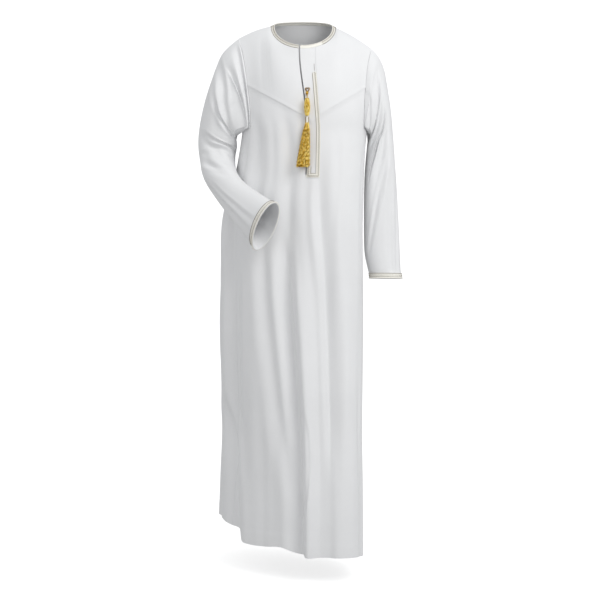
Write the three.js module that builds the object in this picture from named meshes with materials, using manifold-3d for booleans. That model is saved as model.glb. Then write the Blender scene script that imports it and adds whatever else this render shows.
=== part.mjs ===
// A long white thobe as it hangs when worn: a hollow cloth shell with set-in sleeves, a pointed
// front yoke, a slit with a trimmed placket, and a gold neck tassel. Millimetres, +Z up.
// The origin is at the middle of the neck, level with the highest point of the shoulders.
// The front faces -Y. "left" and "right" are the wearer's, so the right sleeve is at -X.
import * as THREE from "three";
import { mergeVertices } from "three/addons/utils/BufferGeometryUtils.js";
import Module from "manifold-3d";

// ---------------------------------------------------------------- driving sizes
const WALL = 1.3;            // body and sleeve cloth
const TRIM_WALL = 1.0;       // bands, placket, yokes and braid laid on the cloth
const LAY = 0.35;            // space between a piece and the panel it lies on
const SEAM = 0.22;           // each sewn edge draws back this far, so a seam is twice this
const ARMPIT_Z = -290;       // level where the body becomes one closed tube
const UNDERARM_DIP = 16;     // how far the armhole hangs below that level
const PANEL_EDGE = 60;       // half the angle that the front and back panels span
const ROUNDNESS = 2.35;      // exponent of the body's section: 2 is an ellipse
const BAND_WIDTH = 11;       // neck band
const SLIT_END_Z = -425.5;   // foot of the front slit
const BRAID_TOP_Z = -130;    // where the braid on the placket starts

const NECK_SHARE = 38 / PANEL_EDGE;   // part of a panel's top edge that is neck
const NECK = {
  centreX: -0.5, halfWidth: 91.5, seamY: 12,
  frontY: -86, frontZ: -77.5, backY: 74, backZ: 3,
  frontShift: 0.076,                   // the slit stands a little to the wearer's left
  middleY: 6,                          // the point that the neck band leans towards
  bandRise: { front: 2, side: 0.5, back: 1.2 },   // how steeply the band stands there
};
const SIDES = {
  right: { sign: -1, neckZ: -7, tip: new THREE.Vector3(-184, 10, -42) },
  left: { sign: 1, neckZ: -11, tip: new THREE.Vector3(193, 8, -71) },
};
const SHOULDER_BOW = 4;

// How the cloth leaves a panel's top edge (x outward, y forward) at the middle of the neck, at the
// neck's side and at the shoulder tip, and how it arrives at the armpit level.
const DRAPE = { neck: [0, 92, -200], side: [85, 215, -75], tip: [-52, 190, -95], arrive: [0, -4, -235] };

const CLOTH = { color: 0xf1f2f3, roughness: 0.62, metalness: 0 };
const CREAM = { color: 0xece2c8, roughness: 0.7, metalness: 0 };
const GOLD = { color: 0xcf9c33, roughness: 0.42, metalness: 0.35 };

// ---------------------------------------------------------------- small helpers
const radians = THREE.MathUtils.degToRad;
const lerp = THREE.MathUtils.lerp;
const smooth = (from, to, value) => THREE.MathUtils.smoothstep(
  from < to ? value : from + to - value, Math.min(from, to), Math.max(from, to));
const spaced = (from, to, count) => Array.from({ length: count + 1 }, (_, k) => lerp(from, to, k / count));

/** Rows of numbers with named columns become objects. */
function table(columns, rows) {
  return rows.map((row) => Object.fromEntries(columns.map((name, k) => [name, row[k]])));
}

/** Value of one column at a place between rows, on a smooth curve through the rows. */
function along(rows, key, name, place) {
  const last = rows.length - 1;
  const falling = rows[last][key] < rows[0][key];
  let k = 0;
  while (k < last - 1 && (falling ? place < rows[k + 1][key] : place > rows[k + 1][key])) k += 1;
  const [a, b] = [rows[k], rows[k + 1]];
  const span = b[key] - a[key];
  const t = THREE.MathUtils.clamp((place - a[key]) / span, 0, 1);
  const before = rows[Math.max(k - 1, 0)];
  const after = rows[Math.min(k + 2, last)];
  const slopeA = k === 0 ? 0 : (b[name] - before[name]) / (b[key] - before[key]) * span;
  const slopeB = k === last - 1 ? 0 : (after[name] - a[name]) / (after[key] - a[key]) * span;
  const [t2, t3] = [t * t, t * t * t];
  return (2 * t3 - 3 * t2 + 1) * a[name] + (t3 - 2 * t2 + t) * slopeA
    + (3 * t2 - 2 * t3) * b[name] + (t3 - t2) * slopeB;
}

// ---------------------------------------------------------------- the body tube
// Sections of the body by height: its four sides, how far the right side lies behind the left
// (skew, because one leg is forward) and how far the whole section is turned.
const SECTIONS = table(["z", "right", "left", "front", "back", "skew", "turn"], [
  [-290, -173, 179, -140, 128, 8, 5.5],
  [-350, -180, 174, -141, 131, 22, 6.6],
  [-420, -194, 169, -142, 134, 40, 7.8],
  [-490, -219, 166, -142, 138, 54, 9],
  [-570, -235, 164, -146, 144, 62, 9.8],
  [-680, -238, 165, -153, 153, 66, 10],
  [-820, -240, 165, -163, 166, 72, 10],
  [-980, -238, 164, -174, 180, 85, 10],
  [-1150, -234, 162, -182, 190, 100, 10],
  [-1300, -241, 163, -188, 192, 115, 10],
  [-1500, -247, 163, -192, 198, 125, 10],
]);

// Height of the hem round the body. Angle 0 is the front, 90 the wearer's left.
const HEM = table(["angle", "z"], [
  [-180, -1448], [-120, -1428], [-90, -1414], [-75, -1414], [-60, -1424], [-53.5, -1430],
  [-51.5, -1448], [-46, -1461], [-30, -1461], [-14, -1455], [-2, -1472], [40, -1474],
  [85, -1484], [130, -1474], [180, -1448],
]);

// The largest folds: a trough runs down from one height and angle to another. Width is in
// degrees, depth in millimetres, and lean makes the wearer's left side of it the steeper.
// A fold that reaches the hem keeps its depth there. A negative depth makes a ridge.
const FOLDS = table(["top", "foot", "from", "middle", "to", "width", "depth", "lean", "atHem"], [
  [-225, -800, -25, -12.5, -9.5, 4.6, 8, 0, 0],
  [-540, -1480, -18, -6.5, -1, 4.6, 22, 0.15, 1],
  [-600, -1480, -3, 3.5, 5, 6.5, -6, 0, 1],
  [-520, -1360, -33, -23.5, -7, 4.4, 8.5, 0.1, 0],
  [-330, -1300, 7.5, 19, 23, 4.8, 12, -0.3, 0],
  [-430, -1320, -64, -63, -58, 9, 15, -0.35, 0],
  [-1020, -1480, -80, -60, -54, 5.5, 11, 0.25, 1],
  [-250, -530, -53, -46, -38, 5.5, 6, 0, 0],
  [-620, -1480, 10, 13, 14, 9, 10, -0.5, 1],
  [-620, -1480, 92, 86, 84, 9, 9, 0, 1],
  [-560, -1480, 121, 117, 116, 7, 9, 0.2, 1],
  [-330, -1480, 147, 142, 139, 6.5, 11, -0.2, 1],
  [-480, -1480, 166, 165, 168, 6, 9, 0.1, 1],
  [-300, -1480, 186, 188, 193, 6.5, 12, 0.2, 1],
  [-640, -1480, 208, 211, 214, 7, 10, -0.15, 1],
  [-380, -1480, 233, 231, 229, 7, 10, 0.1, 1],
  [-700, -1480, 258, 256, 255, 8, 9, 0, 1],
]);
const FOLD_FADE = 0.24;      // share of a fold's length over which it comes and goes
const FOLD_RIDGE = 0.34;     // height of the ridges beside a trough, against its depth

/** How far the cloth stands out from the plain section at an angle and height. */
function foldAt(angle, z) {
  let out = 0;
  for (const fold of FOLDS) {
    const t = (fold.top - z) / (fold.top - fold.foot);
    if (t <= 0 || (t >= 1 && !fold.atHem)) continue;
    const path = fold.from * (2 * t - 1) * (t - 1) + 4 * fold.middle * t * (1 - t)
      + fold.to * t * (2 * t - 1);
    let off = angle - path;
    off -= 360 * Math.round(off / 360);
    const width = fold.width * (off > 0 ? 1 - fold.lean : 1 + fold.lean);
    const near = (off / width) ** 2;
    const ridge = FOLD_RIDGE * Math.exp(-((Math.abs(off) / width - 2.1) ** 2) / 0.9);
    const fade = smooth(0, FOLD_FADE, t) * (fold.atHem ? 1 : smooth(1, 1 - FOLD_FADE, t));
    out += fold.depth * fade * (ridge - Math.exp(-near));
  }
  return out;
}

/** A point of the plain body section: a rounded, turned and skewed oval. */
function sectionPoint(angle, z) {
  const size = (name) => along(SECTIONS, "z", name, z);
  const turned = radians(angle + size("turn"));
  const [s, c] = [Math.sin(turned), Math.cos(turned)];
  const q = (Math.abs(s) ** ROUNDNESS + Math.abs(c) ** ROUNDNESS) ** (-1 / ROUNDNESS);
  const [right, left, front, back] = ["right", "left", "front", "back"].map(size);
  return new THREE.Vector3(
    (right + left) / 2 + (left - right) / 2 * s * q,
    (front + back) / 2 - (back - front) / 2 * c * q - size("skew") * s * q,
    z);
}

/** A point of the body below the armpits, with its folds. */
function bodyPoint(angle, z) {
  const STEP = 0.5;
  const tangent = sectionPoint(angle + STEP, z).sub(sectionPoint(angle - STEP, z));
  const outward = new THREE.Vector3(tangent.y, -tangent.x, 0).normalize();
  return sectionPoint(angle, z).addScaledVector(outward, foldAt(angle, z));
}

// ---------------------------------------------------------------- shoulders and neck
const angleOf = (face, u) => (face === "front" ? PANEL_EDGE * u : 180 - PANEL_EDGE * u);

/** Top edge of a panel, from shoulder tip (u = -1) round the neck to shoulder tip (u = 1). */
function topEdge(face, u) {
  const side = u < 0 ? SIDES.right : SIDES.left;
  const share = u / NECK_SHARE;
  if (Math.abs(share) <= 1) {
    const shift = face === "front" ? NECK.frontShift * (1 - share * share) : 0;
    const turn = (share + shift) * Math.PI / 2;
    const middle = face === "front" ? [NECK.frontY, NECK.frontZ] : [NECK.backY, NECK.backZ];
    return new THREE.Vector3(
      NECK.centreX + NECK.halfWidth * Math.sin(turn),
      lerp(NECK.seamY, middle[0], Math.cos(turn)),
      lerp(side.neckZ, middle[1], Math.cos(turn)));
  }
  const t = (Math.abs(share) - 1) / (1 / NECK_SHARE - 1);
  const neckPoint = new THREE.Vector3(NECK.centreX + side.sign * NECK.halfWidth, NECK.seamY, side.neckZ);
  return neckPoint.lerp(side.tip, t).add(new THREE.Vector3(0, 0, SHOULDER_BOW * Math.sin(Math.PI * t)));
}

/** Point of a panel between its top edge (v = 0) and the armpit level (v = 1). */
function shoulderPoint(face, u, v) {
  const forward = face === "front" ? -1 : 1;
  const top = topEdge(face, u);
  const foot = bodyPoint(angleOf(face, u), ARMPIT_Z);
  const share = Math.min(Math.abs(u) / NECK_SHARE, 1);
  const toTip = Math.max((Math.abs(u) - NECK_SHARE) / (1 - NECK_SHARE), 0);
  const pull = ([out, ahead, up]) => new THREE.Vector3(out * Math.sign(u), ahead * forward, up);
  const start = pull(DRAPE.neck).lerp(pull(DRAPE.side), 1 - Math.cos(share * Math.PI / 2))
    .lerp(pull(DRAPE.tip), toTip);
  const end = pull(DRAPE.arrive);
  const [v2, v3] = [v * v, v * v * v];
  const bow = foldAt(angleOf(face, u), lerp(top.z, ARMPIT_Z, v)) * smooth(0.2, 0.9, v);
  const atFoot = foldAt(angleOf(face, u), ARMPIT_Z) * smooth(0, 1, v);
  return new THREE.Vector3()
    .addScaledVector(top, 2 * v3 - 3 * v2 + 1)
    .addScaledVector(start, v3 - 2 * v2 + v)
    .addScaledVector(foot, 3 * v2 - 2 * v3)
    .addScaledVector(end, v3 - v2)
    .add(new THREE.Vector3(0, forward * (bow - atFoot), 0));
}

// The slit and the placket lean to the wearer's left on their way down, and the columns near
// them follow. The lean is in degrees at the slit's foot, and a share of it is reached above.
const LEAN = { most: 4.3, reach: 34, atArmpit: 0.6 };

/** Column u of a face, moved with the leaning slit by a share of the whole lean. */
function leaned(face, u, share) {
  if (face === "back") return u;
  const near = Math.exp(-((PANEL_EDGE * u / LEAN.reach) ** 2)) * (1 - u * u);
  return u + LEAN.most * near * share / PANEL_EDGE;
}

/** Point of a panel's column above the armpit level, with the lean. */
const upperPoint = (face, u, v) => shoulderPoint(face, leaned(face, u, LEAN.atArmpit * v * v), v);

// The yoke seams: a V on the front, nearly level on the back.
const frontYokeZ = (x) => Math.max(-265 - 0.56 * x, -291 + 0.62 * x);
const backYokeZ = (x) => -176 + 14 * (x / 170) ** 2;

/** Share of a column, from its top edge to the armpit level, at which the yoke seam crosses it. */
function yokeShare(face, u) {
  const seam = face === "front" ? frontYokeZ : backYokeZ;
  let [low, high] = [0, 1];
  for (let pass = 0; pass < 24; pass += 1) {
    const middle = (low + high) / 2;
    const point = upperPoint(face, u, middle);
    if (point.z > seam(point.x)) low = middle; else high = middle;
  }
  return low;
}

// Rows of the panel grids: 0 is the top edge, YOKE_ROW the yoke seam, ARMPIT_ROW the armpit
// level. The rows below it stand at these levels on the front.
const YOKE_ROW = 5;
const ARMPIT_ROW = 8;
const LOWER_LEVELS = [-336, -381, SLIT_END_Z, SLIT_END_Z - 8, ...spaced(-492, -1420, 15), -1463];
const SLIT_END_ROW = ARMPIT_ROW + 3;

const hemZ = (angle) => along(HEM, "angle", "z", angle > 180 ? angle - 360 : angle);

/** Angle round the body of a panel's column at a level below the armpits, with the lean. */
function lowerAngle(face, u, level) {
  const down = THREE.MathUtils.clamp((ARMPIT_Z - level) / (ARMPIT_Z - SLIT_END_Z), 0, 1);
  return angleOf(face, leaned(face, u, lerp(LEAN.atArmpit, 1, down)));
}

/** Grid point of a panel at a row, for a column at u. */
function panelPoint(face, u, row, yokeAt) {
  if (row > ARMPIT_ROW) {
    const share = (LOWER_LEVELS[row - ARMPIT_ROW - 1] - ARMPIT_Z) / (LOWER_LEVELS.at(-1) - ARMPIT_Z);
    const angle = lowerAngle(face, u, LOWER_LEVELS[row - ARMPIT_ROW - 1]);
    return bodyPoint(angle, lerp(ARMPIT_Z, hemZ(angle), share));
  }
  if (row <= YOKE_ROW) return upperPoint(face, u, yokeAt * row / YOKE_ROW);
  return upperPoint(face, u, lerp(yokeAt, 1, (row - YOKE_ROW) / (ARMPIT_ROW - YOKE_ROW)));
}

// Columns of the front, in degrees: the slit's two edges, the placket and its braid have their own.
const SLIT = [-6.3, -5.3];
const PLACKET_EDGE = 6;
const BRAID_EDGE = 3;
const BRAID_RETURN = -3.4;   // the braid's short return beside the slit ends at this column
const FRONT_COLUMNS = [
  -60, -54, -51.5, -47.5, -43, -38, -33, -28, -24, -20, -16, -12.5, -9, ...SLIT, BRAID_RETURN, 0.4,
  BRAID_EDGE, PLACKET_EDGE, 9, 12.5, 16, 20, 24.5, 29, 33.5, 38, 43.5, 49, 55, 60];
const BACK_COLUMNS = [
  -60, -52.5, -45, -38, -31, -23.5, -15.5, -7.5, 0, 7.5, 15.5, 23.5, 31, 38, 45, 52.5, 60];
const GORE_COLUMNS = spaced(60, 120, 6);

const rowCount = ARMPIT_ROW + LOWER_LEVELS.length;

function panelGrid(face, columns) {
  const byColumn = columns.map((degrees) => {
    const u = degrees / PANEL_EDGE;
    const yokeAt = yokeShare(face, u);
    return Array.from({ length: rowCount + 1 }, (_, row) => panelPoint(face, u, row, yokeAt));
  });
  return byColumn[0].map((_, row) => byColumn.map((column) => column[row]));
}

/** Grid of a gore: from the underarm curve to the hem, on the panels' own rows. */
function goreGrid(sign) {
  const levels = [ARMPIT_Z, ...LOWER_LEVELS];
  return levels.map((level) => GORE_COLUMNS.map((degrees) => {
    const angle = sign * degrees;
    const across = (degrees - PANEL_EDGE) / (180 - 2 * PANEL_EDGE);
    const top = ARMPIT_Z - UNDERARM_DIP * Math.sin(Math.PI * across);
    const share = (level - ARMPIT_Z) / (LOWER_LEVELS.at(-1) - ARMPIT_Z);
    return bodyPoint(angle, lerp(top, hemZ(angle), share));
  }));
}

// ---------------------------------------------------------------- cloth from a grid
/** Outward unit normal of the body below the armpits, the same for every piece that meets there. */
function bodyNormal(angle, z) {
  const [TURN_STEP, DROP_STEP] = [1, 6];
  const across = bodyPoint(angle + TURN_STEP, z).sub(bodyPoint(angle - TURN_STEP, z));
  const down = bodyPoint(angle, z - DROP_STEP).sub(bodyPoint(angle, z + DROP_STEP));
  return down.cross(across).normalize();
}

/** Outward unit normals of a grid. Rows run down and columns run towards the wearer's left. */
function gridNormals(grid, wraps, sign) {
  return grid.map((points, row) => points.map((_, col) => {
    const count = points.length;
    const before = wraps ? points[(col + count - 1) % count] : points[Math.max(col - 1, 0)];
    const after = wraps ? points[(col + 1) % count] : points[Math.min(col + 1, count - 1)];
    const above = grid[Math.max(row - 1, 0)][col];
    const below = grid[Math.min(row + 1, grid.length - 1)][col];
    const across = after.clone().sub(before);
    const down = below.clone().sub(above);
    return down.cross(across).normalize().multiplyScalar(sign);
  }));
}

/** Draw the outer columns and rows of an open patch back from its seams. */
function drawnBack(layer, seam) {
  const rows = layer.map((points) => points.map((point) => point.clone()));
  const pull = (point, inner) => point.add(inner.clone().sub(point).setLength(seam));
  const last = rows[0].length - 1;
  for (const points of rows) {
    pull(points[0], layer[rows.indexOf(points)][1]);
    pull(points[last], layer[rows.indexOf(points)][last - 1]);
  }
  for (let col = 0; col <= last; col += 1) {
    pull(rows[0][col], layer[1][col]);
    pull(rows.at(-1)[col], layer.at(-2)[col]);
  }
  return rows;
}

/** A closed wall between two matching layers of points. keep(row, col) says which cells exist. */
function wallBetween(outer, inner, wraps, keep = () => true) {
  const [rows, cols] = [outer.length, outer[0].length];
  const cells = wraps ? cols : cols - 1;
  const positions = [...outer.flat(), ...inner.flat()].flatMap((point) => point.toArray());
  const index = [];
  const id = (layer, row, col) => (layer * rows + row) * cols + (col % cols);
  const has = (row, col) => {
    if (row < 0 || row >= rows - 1) return false;
    if (wraps) return keep(row, (col + cells) % cells);
    return col >= 0 && col < cells && keep(row, col);
  };
  const quad = (a, b, c, d) => index.push(a, b, c, a, c, d);
  for (let row = 0; row < rows - 1; row += 1) {
    for (let col = 0; col < cells; col += 1) {
      if (!has(row, col)) continue;
      const corner = (layer) => [
        id(layer, row, col), id(layer, row + 1, col), id(layer, row + 1, col + 1), id(layer, row, col + 1)];
      const [a, b, c, d] = corner(0);
      const [e, f, g, h] = corner(1);
      quad(a, b, c, d);
      index.push(e, g, f, e, h, g);
      if (!has(row - 1, col)) quad(a, d, h, e);
      if (!has(row + 1, col)) quad(b, f, g, c);
      if (!has(row, col - 1)) quad(a, e, f, b);
      if (!has(row, col + 1)) quad(d, c, g, h);
    }
  }
  const geometry = new THREE.BufferGeometry();
  geometry.setAttribute("position", new THREE.Float32BufferAttribute(positions, 3));
  geometry.setIndex(index);
  return turnedOut(withoutLoosePoints(geometry));
}

function withoutLoosePoints(geometry) {
  const index = geometry.getIndex().array;
  const position = geometry.getAttribute("position");
  const fresh = new Map();
  const kept = [];
  const renumbered = Array.from(index, (old) => {
    if (!fresh.has(old)) {
      fresh.set(old, fresh.size);
      kept.push(position.getX(old), position.getY(old), position.getZ(old));
    }
    return fresh.get(old);
  });
  const clean = new THREE.BufferGeometry();
  clean.setAttribute("position", new THREE.Float32BufferAttribute(kept, 3));
  clean.setIndex(renumbered);
  return clean;
}

/** Turn the faces round if they point in. */
function turnedOut(geometry) {
  const position = geometry.getAttribute("position");
  const index = Array.from(geometry.getIndex().array);
  const corner = (k) => new THREE.Vector3().fromBufferAttribute(position, index[k]);
  let volume = 0;
  for (let k = 0; k < index.length; k += 3) {
    volume += corner(k).dot(corner(k + 1).cross(corner(k + 2)));
  }
  if (volume < 0) {
    for (let k = 0; k < index.length; k += 3) [index[k + 1], index[k + 2]] = [index[k + 2], index[k + 1]];
    geometry.setIndex(index);
  }
  geometry.computeVertexNormals();
  return geometry;
}

const moved = (grid, normals, by) => grid.map((points, row) => points.map((point, col) => (
  point.clone().addScaledVector(normals[row][col], by))));

/** The wall of a panel: its grid is the outer face. */
function panelWall(grid, normals, keep) {
  const outer = drawnBack(grid, SEAM);
  return wallBetween(outer, drawnBack(moved(grid, normals, -WALL), SEAM), false, keep);
}

/** A piece that lies on part of a panel: rows and columns from..to of the panel's own points. */
function laidOn(grid, normals, [rowFrom, rowTo], [colFrom, colTo], keep) {
  const part = (layer) => layer.slice(rowFrom, rowTo + 1).map((points) => points.slice(colFrom, colTo + 1));
  const [points, outward] = [part(grid), part(normals)];
  const [low, high] = [LAY, LAY + TRIM_WALL].map((by) => drawnBack(moved(points, outward, by), 1.5 * SEAM));
  return wallBetween(high, low, false, keep);
}

// ---------------------------------------------------------------- the sleeves
// Each row is a ring of the sleeve. outer and inner are its far and near seam points (past the
// elbow, the lower and the upper one), deep is half its size the other way.
const SLEEVE_COLUMNS = ["outX", "outY", "outZ", "inX", "inY", "inZ", "deep"];
const RIGHT_RINGS = table(SLEEVE_COLUMNS, [
  [-229, 8, -84, -183, 2, -311, 84],
  [-256, 8, -148, -190, 3, -317, 80],
  [-278, 8, -214, -190, 18, -325, 75],
  [-293, 8, -280, -190, 28, -336, 69],
  [-298, 8, -336, -191, 28, -352, 62],
  [-294, 8, -384, -194, 4, -375, 55],
  [-282, 2, -425, -196, -44, -399, 48],
  [-267, -20, -457, -188, -78, -421, 41],
  [-247, -48, -486, -171, -106, -442, 36],
  [-221, -80, -520, -148, -134, -460, 35],
  [-189, -118, -558, -121, -170, -478, 35],
  [-155, -158, -596, -99, -207, -492, 35],
  [-136, -176, -620, -84, -228, -500, 35],
  [-128, -184, -632, -78, -236, -503, 35],
]);
const LEFT_RINGS = table(SLEEVE_COLUMNS, [
  [214, 8, -96, 184, 2, -310, 84],
  [229, 8, -134, 184, 2, -314, 80],
  [238, 8, -184, 183, 3, -320, 77],
  [246, 8, -240, 182, 4, -329, 74],
  [252, 6, -298, 180, 4, -343, 72],
  [256, 2, -352, 177, 0, -372, 71],
  [260, -4, -410, 173.5, -4, -418, 69],
  [264, -10, -468, 171.5, -9, -472, 68],
  [267, -16, -527, 171, -15, -530, 66],
  [270, -22, -590, 171, -21, -594, 64],
  [272, -28, -645, 173, -27, -647, 61],
  [274, -32, -690, 182, -31, -691, 59],
  [276, -33, -703, 185, -32, -702, 58],
  [278, -34, -718, 187, -33, -717, 58],
]);

// Sleeve folds: from and to are shares of the sleeve's length, angles go from its outer side (0)
// over the front (90) to its inner side (180).
const SLEEVE_FOLD_COLUMNS = ["from", "to", "angleFrom", "angleTo", "width", "depth"];
const RIGHT_SLEEVE_FOLDS = table(SLEEVE_FOLD_COLUMNS, [
  [0.03, 0.3, 62, 70, 15, 7],
  [0.02, 0.26, 100, 112, 14, 7],
  [0.3, 0.52, 10, 150, 20, 8],
  [0.4, 0.62, 35, 140, 18, 6],
  [0.55, 0.95, 40, 60, 18, 5],
  [0.1, 0.45, 250, 262, 18, 8],
  [0.5, 0.9, 285, 270, 18, 6],
]);
const LEFT_SLEEVE_FOLDS = table(SLEEVE_FOLD_COLUMNS, [
  [0.06, 0.46, 48, 150, 16, 9],
  [0.2, 0.68, 55, 118, 15, 7],
  [0.5, 0.98, 62, 70, 16, 5],
  [0.05, 0.5, 300, 255, 18, 8],
  [0.45, 0.95, 285, 290, 18, 6],
]);
const SLEEVE_SET = 0.6;      // space between the armhole's edge and the sleeve
const ARMHOLE_BLEND = 0.36;  // share of the sleeve over which the armhole's shape fades
const SLEEVE_ROWS = 19;
const ELBOW_ROW = 9;         // the bent sleeve is parted here, so that each half is a plain tube
const ELBOW_PARTING = 0.007;   // half the gap there, as a share of the space between two rings

function sleeveFoldAt(folds, share, angle) {
  let out = 0;
  for (const fold of folds) {
    const t = (share - fold.from) / (fold.to - fold.from);
    if (t <= 0 || t >= 1) continue;
    let off = angle - lerp(fold.angleFrom, fold.angleTo, t);
    off -= 360 * Math.round(off / 360);
    out -= fold.depth * Math.sin(Math.PI * t) * Math.exp(-((off / fold.width) ** 2));
  }
  return out;
}

/** A ring's centre and its three directions: towards outer, towards the front, and along. */
function ringFrame(outer, inner, along3, sign) {
  const centre = outer.clone().add(inner).multiplyScalar(0.5);
  const half = outer.distanceTo(inner) / 2;
  const toOuter = outer.clone().sub(inner).normalize();
  const toFront = toOuter.clone().cross(along3).normalize().multiplyScalar(-sign);
  const onward = toFront.clone().cross(toOuter).multiplyScalar(-sign);
  return { centre, half, toOuter, toFront, onward };
}

/** Rings of points from the armhole's edge to the cuff. */
function sleeveGrid(loop, rings, folds, side, partedRow) {
  const tip = loop.tip;
  const under = loop.under;
  const first = {
    outX: tip.x, outY: tip.y, outZ: tip.z, inX: under.x, inY: under.y, inZ: under.z, deep: loop.deep,
  };
  const rows = [first, ...rings].map((row, place) => ({ ...row, place }));
  const read = (place, names) => new THREE.Vector3(...names.map((name) => along(rows, "place", name, place)));
  const middle = (place) => read(place, ["outX", "outY", "outZ"])
    .add(read(place, ["inX", "inY", "inZ"])).multiplyScalar(0.5);
  const end = rows.length - 1;
  const places = [...spaced(0, end - 1, SLEEVE_ROWS - 1), end].flatMap((place, row) => (
    row === partedRow ? [place - ELBOW_PARTING, place + ELBOW_PARTING] : [place]));
  let start = null;
  const grid = places.map((place) => {
    const ahead = middle(Math.min(place + 0.4, end)).sub(middle(Math.max(place - 0.4, 0)));
    const frame = ringFrame(read(place, ["outX", "outY", "outZ"]), read(place, ["inX", "inY", "inZ"]),
      ahead, side.sign);
    start ??= frame;
    const share = place / end;
    const shaped = smooth(0, ARMHOLE_BLEND, share);
    const deep = along(rows, "place", "deep", place);
    return loop.points.map((point) => {
      const offset = point.clone().sub(start.centre);
      const [a, b, c] = [start.toOuter, start.toFront, start.onward].map((axis) => offset.dot(axis));
      const angle = Math.atan2(b / loop.deep, a / start.half);
      const fold = sleeveFoldAt(folds, share, THREE.MathUtils.radToDeg(angle));
      const dent = 1 + fold / Math.min(frame.half, deep);
      const across = lerp(a * frame.half / start.half, frame.half * Math.cos(angle), shaped) * dent;
      const front = lerp(b * deep / loop.deep, deep * Math.sin(angle), shaped) * dent;
      return frame.centre.clone()
        .addScaledVector(frame.toOuter, across)
        .addScaledVector(frame.toFront, front)
        .addScaledVector(frame.onward, lerp(c, 0, shaped) + SLEEVE_SET);
    });
  });
  const normals = gridNormals(grid, true, -side.sign);
  for (const normal of normals[0]) normal.projectOnPlane(start.onward).normalize();
  return { grid, normals };
}

/** The armhole's edge: down the front panel, under the arm along the gore, up the back panel. */
function armhole(front, gore, back, column) {
  const frontEdge = front.slice(0, ARMPIT_ROW + 1).map((points) => points.at(column));
  const backEdge = back.slice(1, ARMPIT_ROW + 1).map((points) => points.at(column)).reverse();
  const under = gore[0].slice(1, -1);
  const points = [...frontEdge, ...under, ...backEdge];
  const ys = points.map((point) => point.y);
  return {
    points,
    tip: frontEdge[0],
    under: under[Math.floor(under.length / 2)],
    deep: (Math.max(...ys) - Math.min(...ys)) / 2,
  };
}

// ---------------------------------------------------------------- the tassel
const TASSEL = {
  x: 9.5, footX: -2.5,
  loopTop: -190, loop: 6.2, loopLean: 0.25, loopOff: 1.3, cord: 1.1,
  knotZ: -203, knot: 4, throat: 1.9,
  knobZ: -241.5, knobOff: 12.8,
  neckTop: -266.5, neckFoot: -286, neck: 4.2,
  skirtTop: -281, skirtFoot: -404,
};
const LAID_TOP = LAY + TRIM_WALL;      // outer face of the placket, from the panel
const KNOB_PROFILE = table(["r", "z"], [
  [0, 25], [2.7, 25], [3.8, 21.5], [6.2, 15.5], [8, 8], [8.5, 0], [8, -8], [6.1, -16.5], [4.2, -23],
  [3.9, -24.5], [0, -24.5],
]);
const STRANDS = {
  count: 60, rows: 4, flare: 0.8, root: 3.4, wide: 19, deep: 10, thin: 0.4, thick: 0.95,
};

const wasm = await Module();
wasm.setup();

function toManifold(geometry) {
  const bare = geometry.clone();
  bare.deleteAttribute("normal");
  bare.deleteAttribute("uv");
  const merged = mergeVertices(bare, 1e-4);
  return new wasm.Manifold(new wasm.Mesh({
    numProp: 3,
    vertProperties: new Float32Array(merged.getAttribute("position").array),
    triVerts: new Uint32Array(merged.getIndex().array),
  }));
}

function fromManifold(solid) {
  const mesh = solid.getMesh();
  const geometry = new THREE.BufferGeometry();
  geometry.setAttribute("position", new THREE.Float32BufferAttribute(mesh.vertProperties, 3));
  geometry.setIndex(Array.from(mesh.triVerts));
  geometry.computeVertexNormals();
  return geometry;
}

const fused = (geometries) => fromManifold(geometries.map(toManifold).reduce((sum, solid) => sum.add(solid)));

/** A closed tube through the given rings of points. */
function capped(rings) {
  const sides = rings[0].length;
  const positions = rings.flat().flatMap((point) => point.toArray());
  const index = [];
  for (let row = 0; row < rings.length - 1; row += 1) {
    for (let k = 0; k < sides; k += 1) {
      const [a, b] = [row * sides + k, row * sides + (k + 1) % sides];
      index.push(a, b, b + sides, a, b + sides, a + sides);
    }
  }
  const last = (rings.length - 1) * sides;
  for (let k = 1; k < sides - 1; k += 1) index.push(0, k + 1, k, last, last + k, last + k + 1);
  const geometry = new THREE.BufferGeometry();
  geometry.setAttribute("position", new THREE.Float32BufferAttribute(positions, 3));
  geometry.setIndex(index);
  return turnedOut(geometry);
}

/** Round, upright body from rows of radius and height, set at a point. */
function turnedBody(profile, sides, at) {
  const geometry = new THREE.LatheGeometry(profile.map((row) => new THREE.Vector2(row.r, row.z)), sides);
  geometry.rotateX(Math.PI / 2);
  geometry.translate(at.x, at.y, at.z);
  geometry.deleteAttribute("normal");
  geometry.deleteAttribute("uv");
  return turnedOut(mergeVertices(geometry, 1e-4));
}

/** One thread of the skirt: three-sided, from inside the neck out to the foot. */
function strand(k, top, foot) {
  const GOLDEN_ANGLE = 2.399963;
  const UNEVEN_FOOT = 3;
  const UNEVEN_TURNS = 1.7;
  const reach = Math.sqrt((k + 0.5) / STRANDS.count);
  const angle = k * GOLDEN_ANGLE;
  const footZ = foot.z + UNEVEN_FOOT * Math.sin(k * GOLDEN_ANGLE * UNEVEN_TURNS);
  return capped(spaced(0, 1, STRANDS.rows).map((t) => {
    const spread = t ** STRANDS.flare;
    const centre = new THREE.Vector3(
      lerp(top.x, foot.x, t) + lerp(STRANDS.root, STRANDS.wide, spread) * reach * Math.cos(angle),
      lerp(top.y, foot.y, t) + lerp(STRANDS.root, STRANDS.deep, spread) * reach * Math.sin(angle),
      lerp(top.z, footZ, t));
    const radius = lerp(STRANDS.thin, STRANDS.thick, Math.min(1, STRANDS.rows * t / 2));
    return [0, 1, 2].map((corner) => {
      const turn = angle + corner * 2 * Math.PI / 3;
      return centre.clone().add(new THREE.Vector3(radius * Math.cos(turn), radius * Math.sin(turn), 0));
    });
  }));
}

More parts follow.
